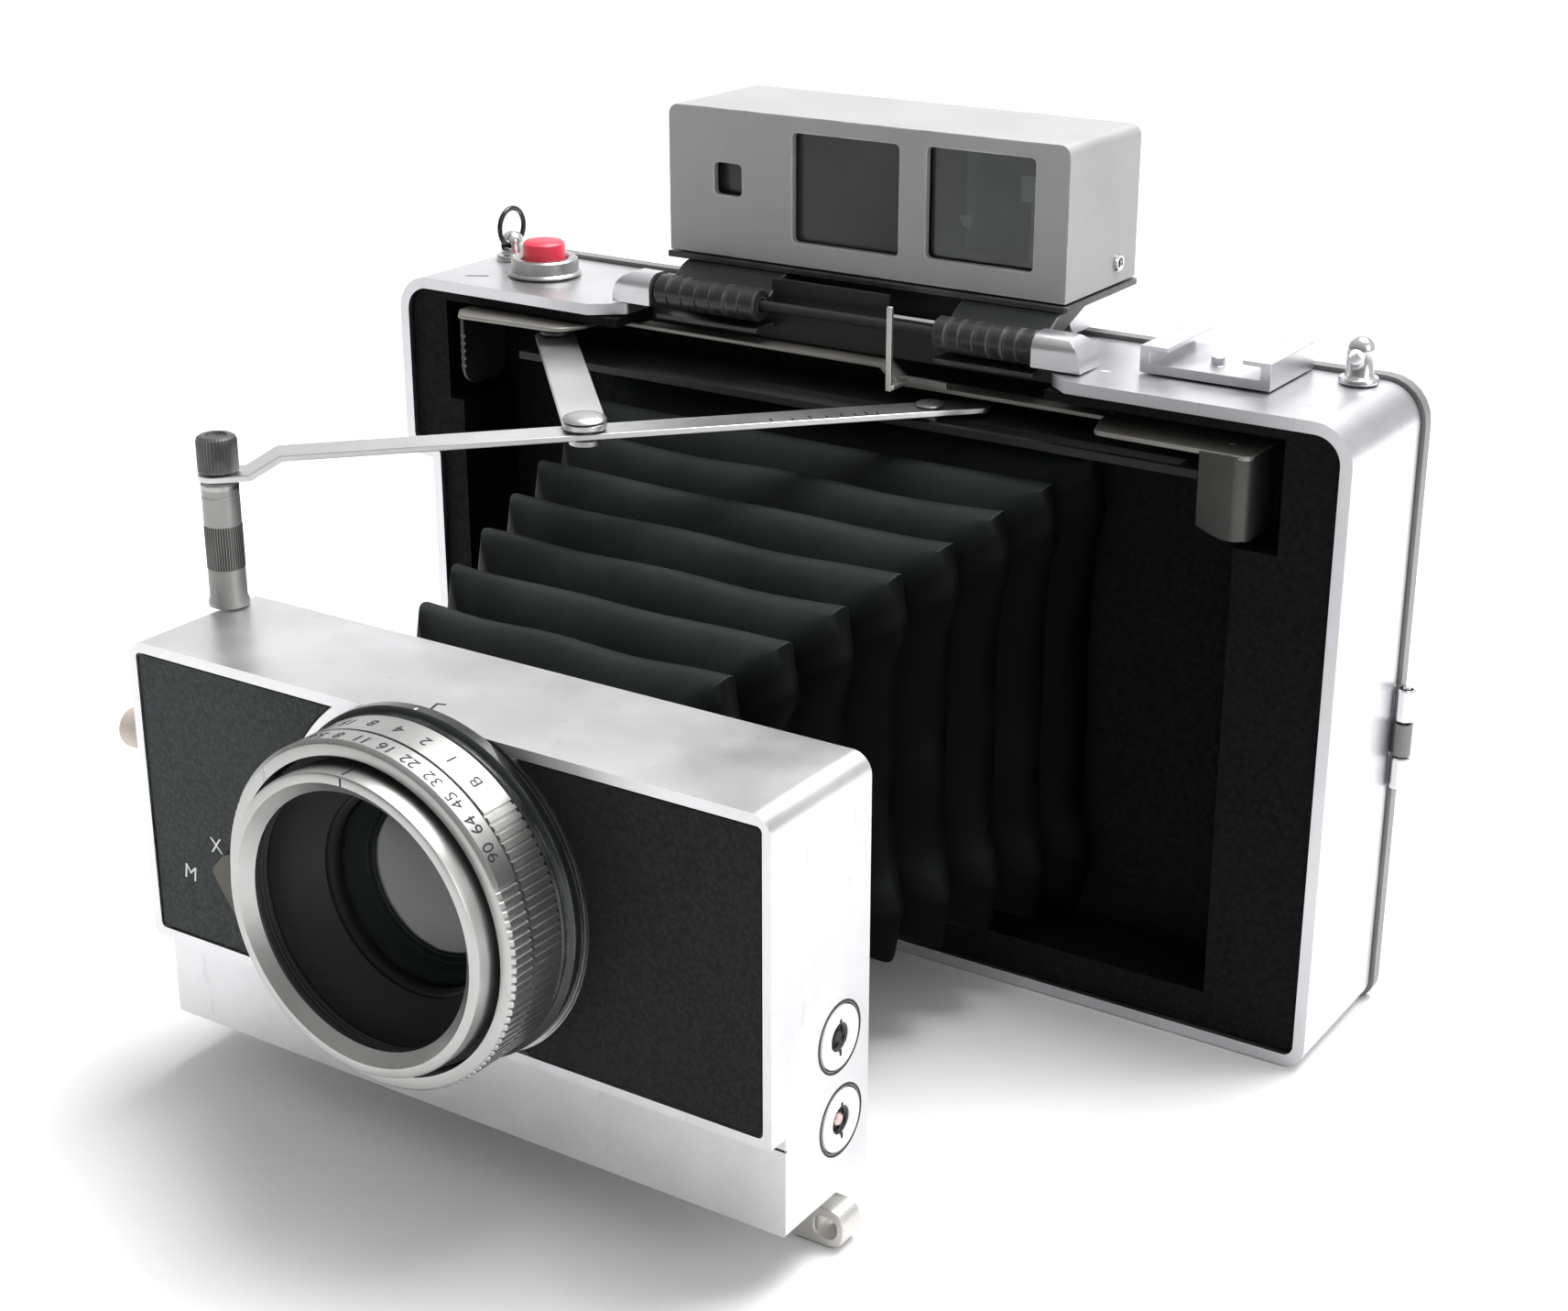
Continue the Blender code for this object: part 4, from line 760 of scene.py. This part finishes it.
def focusing():
    bar = prism([[(-51.0, 103.0), (6.0, 103.0), (9.0, 100.5), (48.0, 100.5), (48.0, 101.3), (9.4, 101.3),
                  (6.4, 103.8), (-51.0, 103.8)]], -6.1, -2.1, "Y")
    piece("slide_bar", bar, "tab_top_painted_light", "focus_slide", ("focus_bar",), 0.2, 2)
    # Each tab is one bent plate: its top takes the lighter copy of the metal, painted light, and its hanging
    # pad the darker copy, painted shade.
    top = prism([rounded([(-78.0, -15.0, 1.0), (-75.5, -18.4, 1.6), (-54.0, -17.0, 4.0), (-51.3, -11.8, 2.0),
                          (-51.3, -3.1, 0.0), (-78.0, -3.1, 0.6)])], 103.0, 103.8, "Z")
    drop = prism([rounded([(-15.0, 103.4, 0.0), (-15.0, 89.5, 3.4), (-3.1, 89.5, 2.4), (-3.1, 103.4, 0.0)])],
                 -78.0, -77.1, "X")
    grips = [block((-78.0, -77.0), (-14.95, -14.6), (z, z + 0.5)) for z in (93.0, 94.4, 95.8, 97.2, 98.6)]
    piece("tab_left_grips", joined(*grips), "bar_grey", "focus_slide", bevel=0.08)
    piece("tab_left_top", top, "tab_top_painted_light", "focus_slide", ("focus_tab_left",), 0.3, 3)
    piece("tab_left_pad", drop, "dark_metal_and_painted_shade", "focus_slide", bevel=0.3)
    top = prism([rounded([(48.3, -8.0, 0.6), (50.4, -14.6, 1.6), (76.9, -14.9, 1.2), (77.0, -4.0, 0.6),
                          (48.3, -4.0, 0.0)])], 100.5, 101.3, "Z")
    hole = bore(0.7, 99, 103, (71.7, -9.7, 0.0), "Z", 24)
    piece("tab_right_top", combine(top, [hole]), "tab_top_painted_light", "focus_slide", ("focus_tab_right",), 0.3, 3)
    wrap = rounded([(68.6, -15.0, 0.3), (77.0, -15.0, 2.6), (77.0, -4.0, 0.3), (76.1, -4.0, 0.3),
                    (76.1, -14.1, 1.8), (68.6, -14.1, 0.3)], 10)
    pad = prism([wrap], 87.5, 101.0, "Z")
    scoop = prism([rounded([(40.0, 80.0, 0.0), (80.0, 80.0, 0.0), (80.0, 87.9, 0.0), (73.0, 87.4, 9.0),
                            (66.0, 90.4, 0.0), (40.0, 98.0, 0.0)], 10)], -20.0, -14.0, "Y")
    piece("tab_right_pad", combine(pad, [scoop]), "dark_metal_and_painted_shade", "focus_slide", bevel=0.25)
    blade = prism([rounded_box((-13.0, -12.2), (101.4, 115.6), 0.0, 0.4, 4)], 11.4, 12.4, "X")
    arm = rounded([(-12.6, 101.6, 0.0), (-6.1, 101.6, 0.0), (-6.1, 102.3, 0.0), (-12.6, 102.3, 0.3)])
    lever = joined(blade, prism([arm], 11.3, 12.7, "X"))
    piece("lever_upright", lever, "flange_metal", "focus_slide", ("rangefinder_lever",), 0.15, 2)
    foot = block((10.6, 19.5), (-7.0, -6.15), (101.4, 102.6))
    piece("lever_foot", foot, "bar_grey", "focus_slide", bevel=0.15)
    piece("lever_rivet", lathe([(0.0, 101.9), (0.9, 101.8), (1.3, 101.5), (1.3, 101.3), (0.0, 101.3)],
                               (16.5, -4.4, 0.0), "Z", 32), "bright", "focus_slide")


# ---------------------------------------------------------------- finder

def finder():
    (x0, x1), (y0, y1), (z0, z1) = FINDER_X, FINDER_Y, FINDER_Z
    outer = prism([rounded_box(FINDER_X, FINDER_Z, 0.0, 1.9)], y0, y1, "Y")
    hollow = block((x0 + 1.2, x1 - 1.2), (y0 + 1.2, y1 - 1.2), (110.0, z1 - 1.2))
    cuts = [hollow]
    for x, z in (((-32.2, -26.5), (127.1, 132.7)), ((-16.0, 5.1), (120.5, 139.2)),
                 ((10.4, 30.6), (120.9, 139.4))):
        cuts.append(prism([rounded_box(x, z, 0.9, 0.9, 6)], -3.0, 5.0, "Y"))
    cuts.append(bore(4.0, 20, 30, (EYEPIECE_AT[0], 0, EYEPIECE_AT[2]), "Y"))
    shell = combine(outer, cuts)
    piece("finder_case", shell, "finder_paint", "finder", ("finder_shell",), 0.7, 4, 40.0)
    for size, x, y, z, look in (("small", (-33.0, -25.7), (3.2, 3.5), (126.3, 133.5), "frosted_glass"),
                                ("middle", (-16.8, 5.9), (2.6, 3.2), (119.7, 140.0), "frosted_glass"),
                                ("large", (9.6, 31.4), (2.4, 2.9), (120.1, 140.2), "window_glass")):
        piece(f"window_{size}", block(x, y, z), look, "finder", (f"finder_window_{size}",))
    lining = combine(block((x0 + 1.4, x1 - 1.4), (y0 + 3.2, y1 - 1.4), (z0 + 0.5, z1 - 1.5)),
                     [block((x0 + 2.0, x1 - 2.0), (y0 - 1.0, y1 - 3.0), (z0 + 1.2, z1 - 2.1))])
    piece("finder_lining", lining, "black_matt", "finder")
    divider = block((6.6, 7.4), (y0 + 2.6, y1 - 3.2), (z0 + 1.4, z1 - 2.3))
    piece("finder_divider", divider, "black_matt", "finder")
    mirror = prism([rounded_box((-8.5, 8.5), (-8.5, 8.5), 0.4, 0.4, 4)], -0.5, 0.5, "X")
    middle = Matrix.Translation((0.0195, 0.0150, 0.1300))
    mirror.transform(middle @ Matrix.Rotation(math.radians(-45), 4, "Z"))
    piece("sloping_mirror", mirror, "mirror_glass", "finder", ("finder_mirror",), 0.1, 2)
    # Bright pieces seen through the large window: a frame tongue at its edge, and a flat white patch that is
    # a painted glint on a small lens mount
    tongue = prism([rounded_box((27.0, 31.0), (131.9, 136.0), 0.3, 0.3)], 3.1, 3.5, "Y")
    piece("window_tongue", tongue, "white_ink", "finder", bevel=0.06)
    glint = rounded([(14.9, 128.0, 0.2), (17.5, 128.4, 0.2), (16.9, 126.0, 0.5), (15.8, 126.2, 0.5)])
    piece("window_glint", prism([glint], 4.3, 4.7, "Y"), "white_ink", "finder", bevel=0.06)
    frame_bar = block((28.9, 30.2), (3.0, 3.3), (121.5, 132.0))
    piece("window_frame_bar", frame_bar, "bar_grey", "finder", bevel=0.05)
    rim = lathe([(3.7, 1.4), (3.7, -0.3), (5.2, -0.3), (5.2, -2.1), (4.9, -2.4), (3.6, -2.4), (2.6, -1.6),
                 (2.6, 1.4)], EYEPIECE_AT, "-Y", 64)
    piece("eyepiece", rim, "black_paint", "finder", ("finder_eyepiece",))
    piece("eyepiece_glass", lathe([(0.0, -0.9), (2.5, -0.6), (2.5, 0.2), (0.0, 0.2)], EYEPIECE_AT, "-Y", 40),
          "lens_glass", "finder")

    base = prism([rounded_box((x0 - 0.5, x1 + 0.5), (y0 - 0.5, y1 + 0.5), 0.6, 0.8, 6)], 115.0, 116.1, "Z")
    piece("finder_plate", base, "black_paint", "finder", ("finder_base",), 0.2, 2)
    for side, a, b in (("left", -38.0, -17.0), ("right", 18.0, 36.4)):
        profile = [(1.25, a), (1.25, b), (2.6, b), (2.9, b - 0.3)]
        for k in range(6, 0, -1):
            line = a + (b - a) * k / 7
            profile += [(2.9, line + 0.35), (2.66, line + 0.15), (2.66, line - 0.15), (2.9, line - 0.35)]
        barrel = lathe(profile + [(2.9, a + 0.3), (2.6, a)], HINGE_AT, "X", 48)
        piece(f"hinge_barrel_{side}", barrel, "black_paint", "finder")
        leaf = prism([[(HINGE_Y + 1.6, HINGE_Z + 0.6), (HINGE_Y + 2.0, HINGE_Z - 1.6), (10.0, 114.9),
                       (0.4, 114.9), (-1.0, 114.4)]], a, b, "X")
        piece(f"hinge_leaf_{side}", leaf, "black_paint", "finder", bevel=0.2)
        strip = block((a, b), (-9.0, -3.2), (106.3, 107.1))
        piece(f"hinge_strip_{side}", strip, "black_paint", "housing", bevel=0.15)
    apron = rounded([(-3.4, 109.4, 0.0), (-2.6, 109.4, 0.4), (-2.6, 114.9, 0.0), (-3.4, 114.9, 0.0)], 3)
    piece("finder_apron", prism([apron], -17.4, 6.0, "X"), "black_matt", "finder", bevel=0.15)
    skirt = block((-38.2, 33.2), (5.6, 6.4), (109.2, 114.95))
    piece("finder_skirt", skirt, "black_matt", "finder", bevel=0.15)
    for side, a in (("left", -40.6), ("right", 33.6)):
        ear = rounded([(5.0, 115.0, 0.0), (5.0, 110.2, 3.0), (23.0, 110.2, 5.0), (23.0, 115.0, 0.0)], 10)
        piece(f"finder_ear_{side}", prism([ear], a, a + 2.0, "X"), "shell_metal", "finder", bevel=0.35)
    eyelet_at = (x1 - 0.3, 19.5, 119.9)
    loop = lathe([(1.5, 0.3), (1.5, 0.6), (1.25, 0.85), (0.95, 0.85), (0.75, 0.55), (0.75, 0.3)],
                 eyelet_at, "X", 48)
    piece("finder_eyelet", loop, "bright", "finder", ("finder_screw",))
    hole = lathe([(0.0, 0.32), (0.74, 0.32), (0.74, 0.1), (0.0, 0.1)], eyelet_at, "X", 32)
    piece("finder_eyelet_hole", hole, "black_matt", "finder")
    pin = lathe([(0.0, -43.3), (0.9, -43.3), (0.9, 41.7), (0.0, 41.7)], HINGE_AT, "X", 32)
    piece("hinge_pin", pin, "black_matt", "housing", ("finder_hinge_pin",))
    for side, a, b in (("left", -46.4, -38.4), ("right", 36.8, 45.6)):
        top = HINGE_Z + 3.1
        out = a if side == "left" else b
        corners = [(a, HEIGHT + 0.3), (b, HEIGHT + 0.3), (b, top), (a, top)]
        outline = rounded([(p, q, 4.6 if (p == out and q > 111.0) else 0.0) for p, q in corners], 12)
        front_cut = prism([rounded_box((HINGE_Y - 9, HINGE_Y + 9), (100, 120), 0, 0),
                           rounded_box((HINGE_Y - 3.4, HINGE_Y + 3.4), (108.0, top), 0.0, 2.6, 10)],
                          a - 2, b + 2, "X")
        bracket = combine(prism([outline], HINGE_Y - 3.4, HINGE_Y + 3.4, "Y"), [front_cut])
        bore_start = b - 6 if side == "left" else a - 1
        bracket = combine(bracket, [bore(1.2, bore_start, bore_start + 7, HINGE_AT, "X", 32)])
        piece(f"bracket_{side}", bracket, "shell_metal", "housing", (f"hinge_bracket_{side}",), 0.25, 3, 40.0)


# ---------------------------------------------------------------- front standard

def panel_outline(side, inset=0.0):
    low, high = BEZEL_LOW + 1.5 + inset, STANDARD_Z[1] - 1.7 - inset
    outer = STANDARD_X[0] + 1.6 + inset if side < 0 else STANDARD_X[1] - 1.4 - inset
    radius = (29.0 if side < 0 else 27.6) + inset
    start, end = math.asin((low - LENS_Z) / radius), math.asin((high - LENS_Z) / radius)
    inner = [(LENS_X + side * radius * math.cos(t), LENS_Z + radius * math.sin(t))
             for t in [start + (end - start) * k / 28 for k in range(29)]]
    corner = 0.9
    ends = rounded([(inner[-1][0], high, 0.0), (outer, high, corner), (outer, low, corner),
                    (inner[0][0], low, 0.0)], 6)
    return ends[1:-1] + inner


def standard():
    (left, right), (low, high) = STANDARD_X, STANDARD_Z
    case = prism([rounded_box(STANDARD_X, STANDARD_Z, 0.6, 3.2, 12)], STANDARD_FRONT, STANDARD_BACK, "Y")
    bezel = rounded_box(STANDARD_X, (BEZEL_LOW, high), 0.4, 3.2, 12)
    front = prism([bezel], BEZEL_FRONT, STANDARD_FRONT + 1.0, "Y")
    case = combine(case, [front], "UNION")
    wall = 1.6
    cuts = [block((left + wall, right - wall), (STANDARD_FRONT + 1.5, STANDARD_BACK - 1.5),
                  (low + wall, high - wall)),
            block((-28.0, 23.0), (STANDARD_BACK - 4.0, -80.0), (29.0, 71.0)),
            bore(22.0, -9, 9, (LENS_X, -110.0, LENS_Z), "-Y", 72),
            *[bore(5.1, -4, 4, place, "X") for _, place, _ in SOCKETS],
            bore(2.2, -4, 4, KNOB_AT, "X", 40)]
    cuts += [prism([panel_outline(side)], BEZEL_FRONT - 2.0, BEZEL_FRONT + 1.0, "Y") for side in (-1, 1)]
    cuts.append(block((left - 1, right + 1), (STANDARD_FRONT - 1.0, STANDARD_FRONT + 0.3), (22.5, 22.9)))
    case = combine(case, cuts)
    piece("standard_body", case, "standard_metal", "front_standard", ("standard_case",), 0.5, 4, 40.0)
    # A black strip at the bottom of the groove across the lower strip: painted shade in the groove.
    groove_shade = block((left + 0.5, right - 0.5), (STANDARD_FRONT + 0.15, STANDARD_FRONT + 0.4), (22.45, 22.95))
    piece("standard_groove_painted_shade", groove_shade, "black_matt", "front_standard")
    for side, name in ((-1, "left"), (1, "right")):
        panel = prism([panel_outline(side, 0.3)], BEZEL_FRONT + 0.25, BEZEL_FRONT + 0.95, "Y")
        # Left panel: lighter copy of the leatherette with painted sheen; right panel: darker copy with
        # painted shade.
        look = "panel_grain_painted_sheen" if side < 0 else "panel_grain_painted_shade"
        piece(f"panel_{name}_cover", panel, look, "front_standard", (f"panel_{name}",), 0.15, 2)
    for name, place, look in SOCKETS:
        _, y, z = place
        ink = lathe([(5.55, -0.05), (5.55, 0.04), (5.15, 0.04), (5.15, -0.05)], place, "X", 72)
        notches = [block((56.1, 56.235), (y - 0.28, y + 0.28), (z + s * 2.45 - 0.45, z + s * 2.45 + 0.45))
                   for s in (1, -1)]
        disc = [(4.8, 0.1), (4.7, 0.2), (2.4, 0.2), (2.2, 0.0), (2.05, -1.4), (4.8, -1.4)]
        hole = [(0.0, -0.8), (2.1, -0.8), (2.1, -1.3), (0.0, -1.3)]
        core = [(0.0, -0.1), (0.8, -0.15), (1.0, -0.4), (1.0, -0.8), (0.0, -0.8)]
        thread = [(2.2, -0.05), (1.9, -0.25), (2.1, -0.45), (1.9, -0.65), (2.1, -0.8), (2.2, -0.8)]
        piece(name + "_disc", lathe(disc, place, "X", 72), "white_enamel", "front_standard", (name,))
        piece(name + "_ring_line", joined(ink, *notches), "ink", "front_standard")
        piece(name + "_hole", lathe(hole, place, "X", 40), "black_matt", "front_standard")
        piece(name + "_core", lathe(core, place, "X", 32), look, "front_standard")
        piece(name + "_thread", lathe(thread, place, "X", 48), "black_gloss", "front_standard")
    soften("front_foot", "flange_metal", 0.3)
    knob = lathe([(0.0, 6.0), (1.4, 5.95), (2.4, 5.75), (3.1, 5.3), (3.4, 4.7), (3.4, 0.7), (3.2, 0.4),
                  (1.9, 0.4), (1.9, -3.0), (0.0, -3.0)], KNOB_AT, "-X", 64)
    piece("knob_cap", knob, "beige_plastic", "knob", ("side_knob",))


def post():
    """The upright post, its bands and its knurled cap."""
    place = (*along(along(LINK_PIVOT, -REST_ANGLE, ARM), 180 + REST_ANGLE, ARM), 0.0)
    stem = [(0.0, 97.9), (1.35, 97.9), (1.35, 95.1), (2.7, 95.1), (2.95, 94.8), (2.95, 93.2), (2.87, 93.1),
            (2.87, 92.8), (2.95, 92.7), (2.95, 76.2), (3.2, 75.6), (3.2, 74.8), (0.0, 74.8)]
    sleeve = [(2.95, 81.0), (3.0, 81.1), (3.0, 88.0), (2.95, 88.1), (2.5, 88.1), (2.5, 81.0)]
    ring = [(3.0, 94.0), (3.0, 94.7), (2.5, 94.7), (2.5, 94.0)]
    cap = [(0.0, 102.1), (1.6, 102.1), (1.8, 102.4), (2.5, 102.4), (3.0, 102.1), (3.2, 101.6), (3.2, 96.8),
           (1.7, 96.8), (1.7, 98.2), (0.0, 98.2)]
    for name, profile, count, wave, look, replaces in (
            ("post_body", stem, 64, None, "post_grey", ("post",)),
            ("post_sleeve", sleeve, 180, lambda t: -0.1 * (math.cos(t * 45) > 0.2), "dark_metal_and_painted_shade", ()),
            ("post_top_ring", ring, 64, None, "dial_metal", ()),
            ("post_knob", cap, 216, lambda t: -0.1 * (math.cos(t * 36) > 0.3), "black_paint", ("post_cap",))):
        piece(name, lathe(profile, place, "Z", count, wave), look, "front_standard", replaces)


# ---------------------------------------------------------------- lens

def dial_wave(start, end, ridges=120, deep=0.34):
    """Knurling round a ring, left out between two angles where the numbers stand."""
    def wave(turn):
        # turn is measured from +X towards +Z; the numbers' angle from the top towards -X
        from_top = (math.degrees(turn) - 90.0 + 180.0) % 360.0 - 180.0
        if start <= from_top <= end:
            return 0.0
        phase = (turn * ridges / math.tau) % 1.0
        rise = min(1.0, max(0.0, (0.5 - abs(phase - 0.5)) * 8.0 - 1.0))
        return -deep * (1.0 - rise)
    return wave


def ring_text(name, words, angle, depth, body, radius=26.52, size=2.9):
    """Numbers bent round a ring, read from above and behind."""
    def place(a, b, h):
        turn = math.radians(angle) + a / radius
        reach = radius + h
        return (LENS_X - reach * math.sin(turn), BEZEL_FRONT - depth - b, LENS_Z + reach * math.cos(turn))
    return lettering(name, words, size, place, "ink", body)


def zone_faces(mesh, start, end, low, high):
    """Gives a ring's numbered band its second material, and the valleys of its knurling the third, a dark
    metal that paints shade into them.
    """
    for face in mesh.polygons:
        c = face.center / MM
        dx, dz = c.x - LENS_X, c.z - LENS_Z
        if math.hypot(dx, dz) < BAND_INNER or not low < BEZEL_FRONT - c.y < high:
            continue
        from_top = math.degrees(math.atan2(-dx, dz))
        if start <= from_top <= end:
            face.material_index = 1
        elif math.hypot(dx, dz) < VALLEY_SHADE_RADIUS:
            face.material_index = 2


def lens_piece(name, profile, look, replaces=(), count=144):
    """A piece turned round the lens axis and fixed to the standard."""
    piece(name, lathe(profile, LENS_AT, "-Y", count), look, "front_standard", replaces)


def lens():
    base = [(24.3, 3.4), (26.0, 3.4), (26.3, 3.1), (26.3, 2.5), (26.6, 2.4), (27.0, 2.2), (27.3, 1.9),
            (27.3, 0.3), (24.3, 0.3)]
    lens_piece("base_ring", base, "black_gloss", ("lens_base_ring",))
    barrel = [(23.9, 12.2), (23.9, 0.3), (21.5, 0.3), (21.5, -14.0), (15.5, -14.0), (15.5, 3.2), (15.9, 3.8),
              (16.3, 4.4), (16.3, 5.0), (17.2, 6.0), (18.3, 7.4), (19.4, 9.0), (20.2, 10.6), (20.5, 12.2)]
    lens_piece("barrel", barrel, "black_matt", ("lens_barrel",))
    nose = [(21.4, 17.6), (22.5, 17.6), (22.85, 17.45), (23.0, 17.1), (23.0, 12.5), (20.5, 12.5),
            (20.5, 15.2), (19.6, 15.5), (19.6, 15.95)]
    lens_piece("nose_ring", nose, "dial_metal", ("front_ring",))
    thread = []
    for k in range(3):
        thread += [(20.5, 12.6 + k * 0.7), (20.25, 12.95 + k * 0.7)]
    lens_piece("filter_thread", thread + [(20.5, 14.8), (20.6, 14.8), (20.6, 12.6)], "black_matt", count=120)
    glass_top = [(0.0, 5.9), (3.0, 5.82), (6.0, 5.56), (9.0, 5.1), (11.5, 4.5), (13.5, 3.8), (15.0, 3.1),
                 (15.2, 2.6), (15.2, -1.4), (0.0, -1.4)]
    lens_piece("front_glass", glass_top, "lens_glass", ("front_element",), 96)
    retainer = [(15.3, 3.3), (16.2, 3.3), (16.2, 4.6), (15.7, 4.6), (15.3, 4.0)]
    lens_piece("retaining_ring", retainer, "black_matt", count=96)
    soften("diaphragm", "black_matt", 0.05)
    rear = [(0.0, -10.0), (15.0, -10.0), (15.0, -11.0), (12.0, -11.9), (8.0, -12.7), (4.0, -13.1),
            (0.0, -13.2)]
    lens_piece("rear_glass", rear, "lens_glass", ("rear_element",), 72)
    dials()
    lens_marks()


def dials():
    """The two setting rings: a numbered white band, and knurling on the rest, with painted shade in its
    valleys.
    """
    rings = (("shutter_ring", "shutter_dial", 3.8, 9.8, (-42.5, 84.0), 0.12, -34.5, 10.4,
              ("B", "1", "2", "4", "8", "15", "30", "60", "125", "250", "500")),
             ("aperture_ring", "aperture_dial", 10.1, 14.4, (-64.0, 60.0), 0.6, -55.0, 9.3,
              ("90", "64", "45", "32", "22", "16", "11", "8", "5.6")))
    for name, body_name, low, high, (start, end), chamfer, first, step, numbers in rings:
        profile = [(25.8, high), (26.04, high - 0.1), (26.5, high - chamfer), (26.5, low + 0.12), (26.0, low),
                   (24.2, low), (24.2, high)]
        ring = lathe(profile, LENS_AT, "-Y", DIAL_POINTS, dial_wave(start, end))
        zone_faces(ring, start + 0.3, end - 0.3, low + 0.2, high - 0.4)
        dial = piece(name + "_dial", ring, "dial_metal", body_name, (name,), second="white_enamel",
                     sharp=28.0)
        # Third material: dark metal in the knurl valleys, painted shade.
        dial.data.materials.append(MATERIALS["dark_metal_and_painted_shade"])
        for k, number in enumerate(numbers):
            label = number.replace(".", "_")
            ring_text(f"{name}_number_{label}", number, first + k * step, (low + high) / 2 + 0.05, body_name)


def lens_marks():
    """Index marks on the fixed rings and on the top of the standard, the sync lever and its two letters."""

    def mark(half, near, far, low, high):
        return block((LENS_X - half, LENS_X + half), (BEZEL_FRONT - far, BEZEL_FRONT - near),
                     (LENS_Z + low, LENS_Z + high))

    nose = joined(mark(0.15, 14.6, 17.1, 22.9, 23.05), mark(0.15, 17.5, 17.64, 21.4, 22.6))
    piece("nose_index", nose, "ink", "front_standard")
    index = [(-3.7, -113.4), (-4.2, -113.4), (-5.6, -107.9), (-4.1, -107.4), (-4.0, -107.8), (-5.1, -108.2)]
    piece("standard_index", prism([index], 74.46, 74.53, "Z"), "ink", "front_standard")
    piece("base_index", mark(0.2, 1.35, 1.9, 27.25, 27.36), "white_ink", "front_standard")

    arc = [math.radians(a) for a in range(33, 2, -3)]
    inner = [(-29.0 * math.cos(t), -29.0 * math.sin(t), 0.0) for t in arc]
    wedge = rounded(inner + [(-41.2, -6.2, 1.0), (-44.0, -9.4, 1.2), (-39.0, -17.0, 1.5)], 6)
    lever = prism([wedge], -1.6, -0.4, "Y")
    lever.transform(Matrix.Translation((LENS_X * MM, BEZEL_FRONT * MM, LENS_Z * MM)))
    piece("sync_arm", lever, "lever_grey", "sync_selector", ("sync_lever",), 0.25, 3)
    for letter, x, z, tilt in (("X", -46.8, 43.4, 4.0), ("M", -53.0, 37.2, -8.0)):
        turn = math.radians(tilt)

        def place(a, b, h, x=x, z=z, turn=turn):
            return (x + a * math.cos(turn) - b * math.sin(turn), BEZEL_FRONT + 0.25 - h,
                    z + a * math.sin(turn) + b * math.cos(turn))
        lettering(f"sync_letter_{letter}", letter, 3.6, place, "white_ink", "front_standard", 0.015)


# ---------------------------------------------------------------- studio

WORLD_FRONT = 0.13
WORLD_BACK = 0.78
LIGHTS = (
    ("key", (0.22, 0.42, 1.35), 0.95, 33.0),
    ("side", (1.30, -0.10, 0.60), 0.7, 3.6),
)


def studio():
    floor = bpy.data.meshes.new("floor")
    work = bmesh.new()
    depth, width, rise, curve = 1.6, 2.2, 1.5, 0.35
    profile = [(-depth, 0.0), (0.9, 0.0)]
    for k in range(1, 13):
        turn = math.pi / 2 * k / 12
        profile.append((0.9 + curve * math.sin(turn), curve * (1 - math.cos(turn))))
    profile.append((0.9 + curve, rise))
    rows = [[work.verts.new((x, y, z)) for x in (-width, width)] for y, z in profile]
    for one, two in zip(rows, rows[1:]):
        work.faces.new((one[0], one[1], two[1], two[0]))
    work.to_mesh(floor)
    work.free()
    floor.polygons.foreach_set("use_smooth", [True] * len(floor.polygons))
    sweep = bpy.data.objects.new("floor", floor)
    sweep.location.z = -0.0002
    sweep.rotation_euler.z = math.radians(33.4)
    bpy.context.scene.collection.objects.link(sweep)
    n = Nodes("paper_floor")
    speck = n.noise(18.0, (1, 1, 1), 4.0)
    n.set(Base_Color=n.ramp(speck, 0.3, 0.7, (0.83, 0.83, 0.835), (0.87, 0.87, 0.872)), Roughness=0.9,
          Normal=n.bump(n.noise(900.0), 0.00002, 0.3))
    floor.materials.append(n.material)

    world = bpy.data.worlds.new("studio")
    bpy.context.scene.world = world
    world.use_nodes = True
    tree = world.node_tree
    background = tree.nodes["Background"]
    direction = tree.nodes.new("ShaderNodeTexCoord")
    towards = tree.nodes.new("ShaderNodeVectorMath")
    towards.operation = "DOT_PRODUCT"
    towards.inputs[1].default_value = (0.15, 0.62, 0.77)
    tree.links.new(direction.outputs["Generated"], towards.inputs[0])
    fade = tree.nodes.new("ShaderNodeMapRange")
    for key, value in (("From Min", -0.6), ("From Max", 0.8), ("To Min", WORLD_FRONT),
                       ("To Max", WORLD_BACK)):
        fade.inputs[key].default_value = value
    tree.links.new(towards.outputs["Value"], fade.inputs["Value"])
    tree.links.new(fade.outputs["Result"], background.inputs["Strength"])
    background.inputs["Color"].default_value = (1.0, 1.0, 1.0, 1.0)

    for name, place, size, power in LIGHTS:
        light = bpy.data.lights.new(name, "AREA")
        light.energy = power
        light.size = size
        lamp = bpy.data.objects.new(name, light)
        lamp.location = place
        lamp.rotation_euler = (Vector((0, -0.04, 0.05)) - Vector(place)).to_track_quat("-Z", "Y").to_euler()
        bpy.context.scene.collection.objects.link(lamp)

    camera = bpy.data.cameras.new("camera")
    camera.lens = 58.56
    camera.sensor_width = 36.0
    camera.clip_end = 20.0
    eye = bpy.data.objects.new("camera", camera)
    yaw, pitch = math.radians(33.3665), math.radians(21.2337)
    look = Vector((-math.sin(yaw) * math.cos(pitch), math.cos(yaw) * math.cos(pitch), -math.sin(pitch)))
    eye.location = (0.22171, -0.36265, 0.21307)
    eye.rotation_euler = look.to_track_quat("-Z", "Y").to_euler()
    bpy.context.scene.collection.objects.link(eye)
    bpy.context.scene.camera = eye
    bpy.context.scene.view_settings.view_transform = "Standard"


def main():
    make_materials()
    body()
    top_fittings()
    film_side()
    bellows()
    linkage()
    focusing()
    finder()
    standard()
    post()
    lens()
    studio()


main()
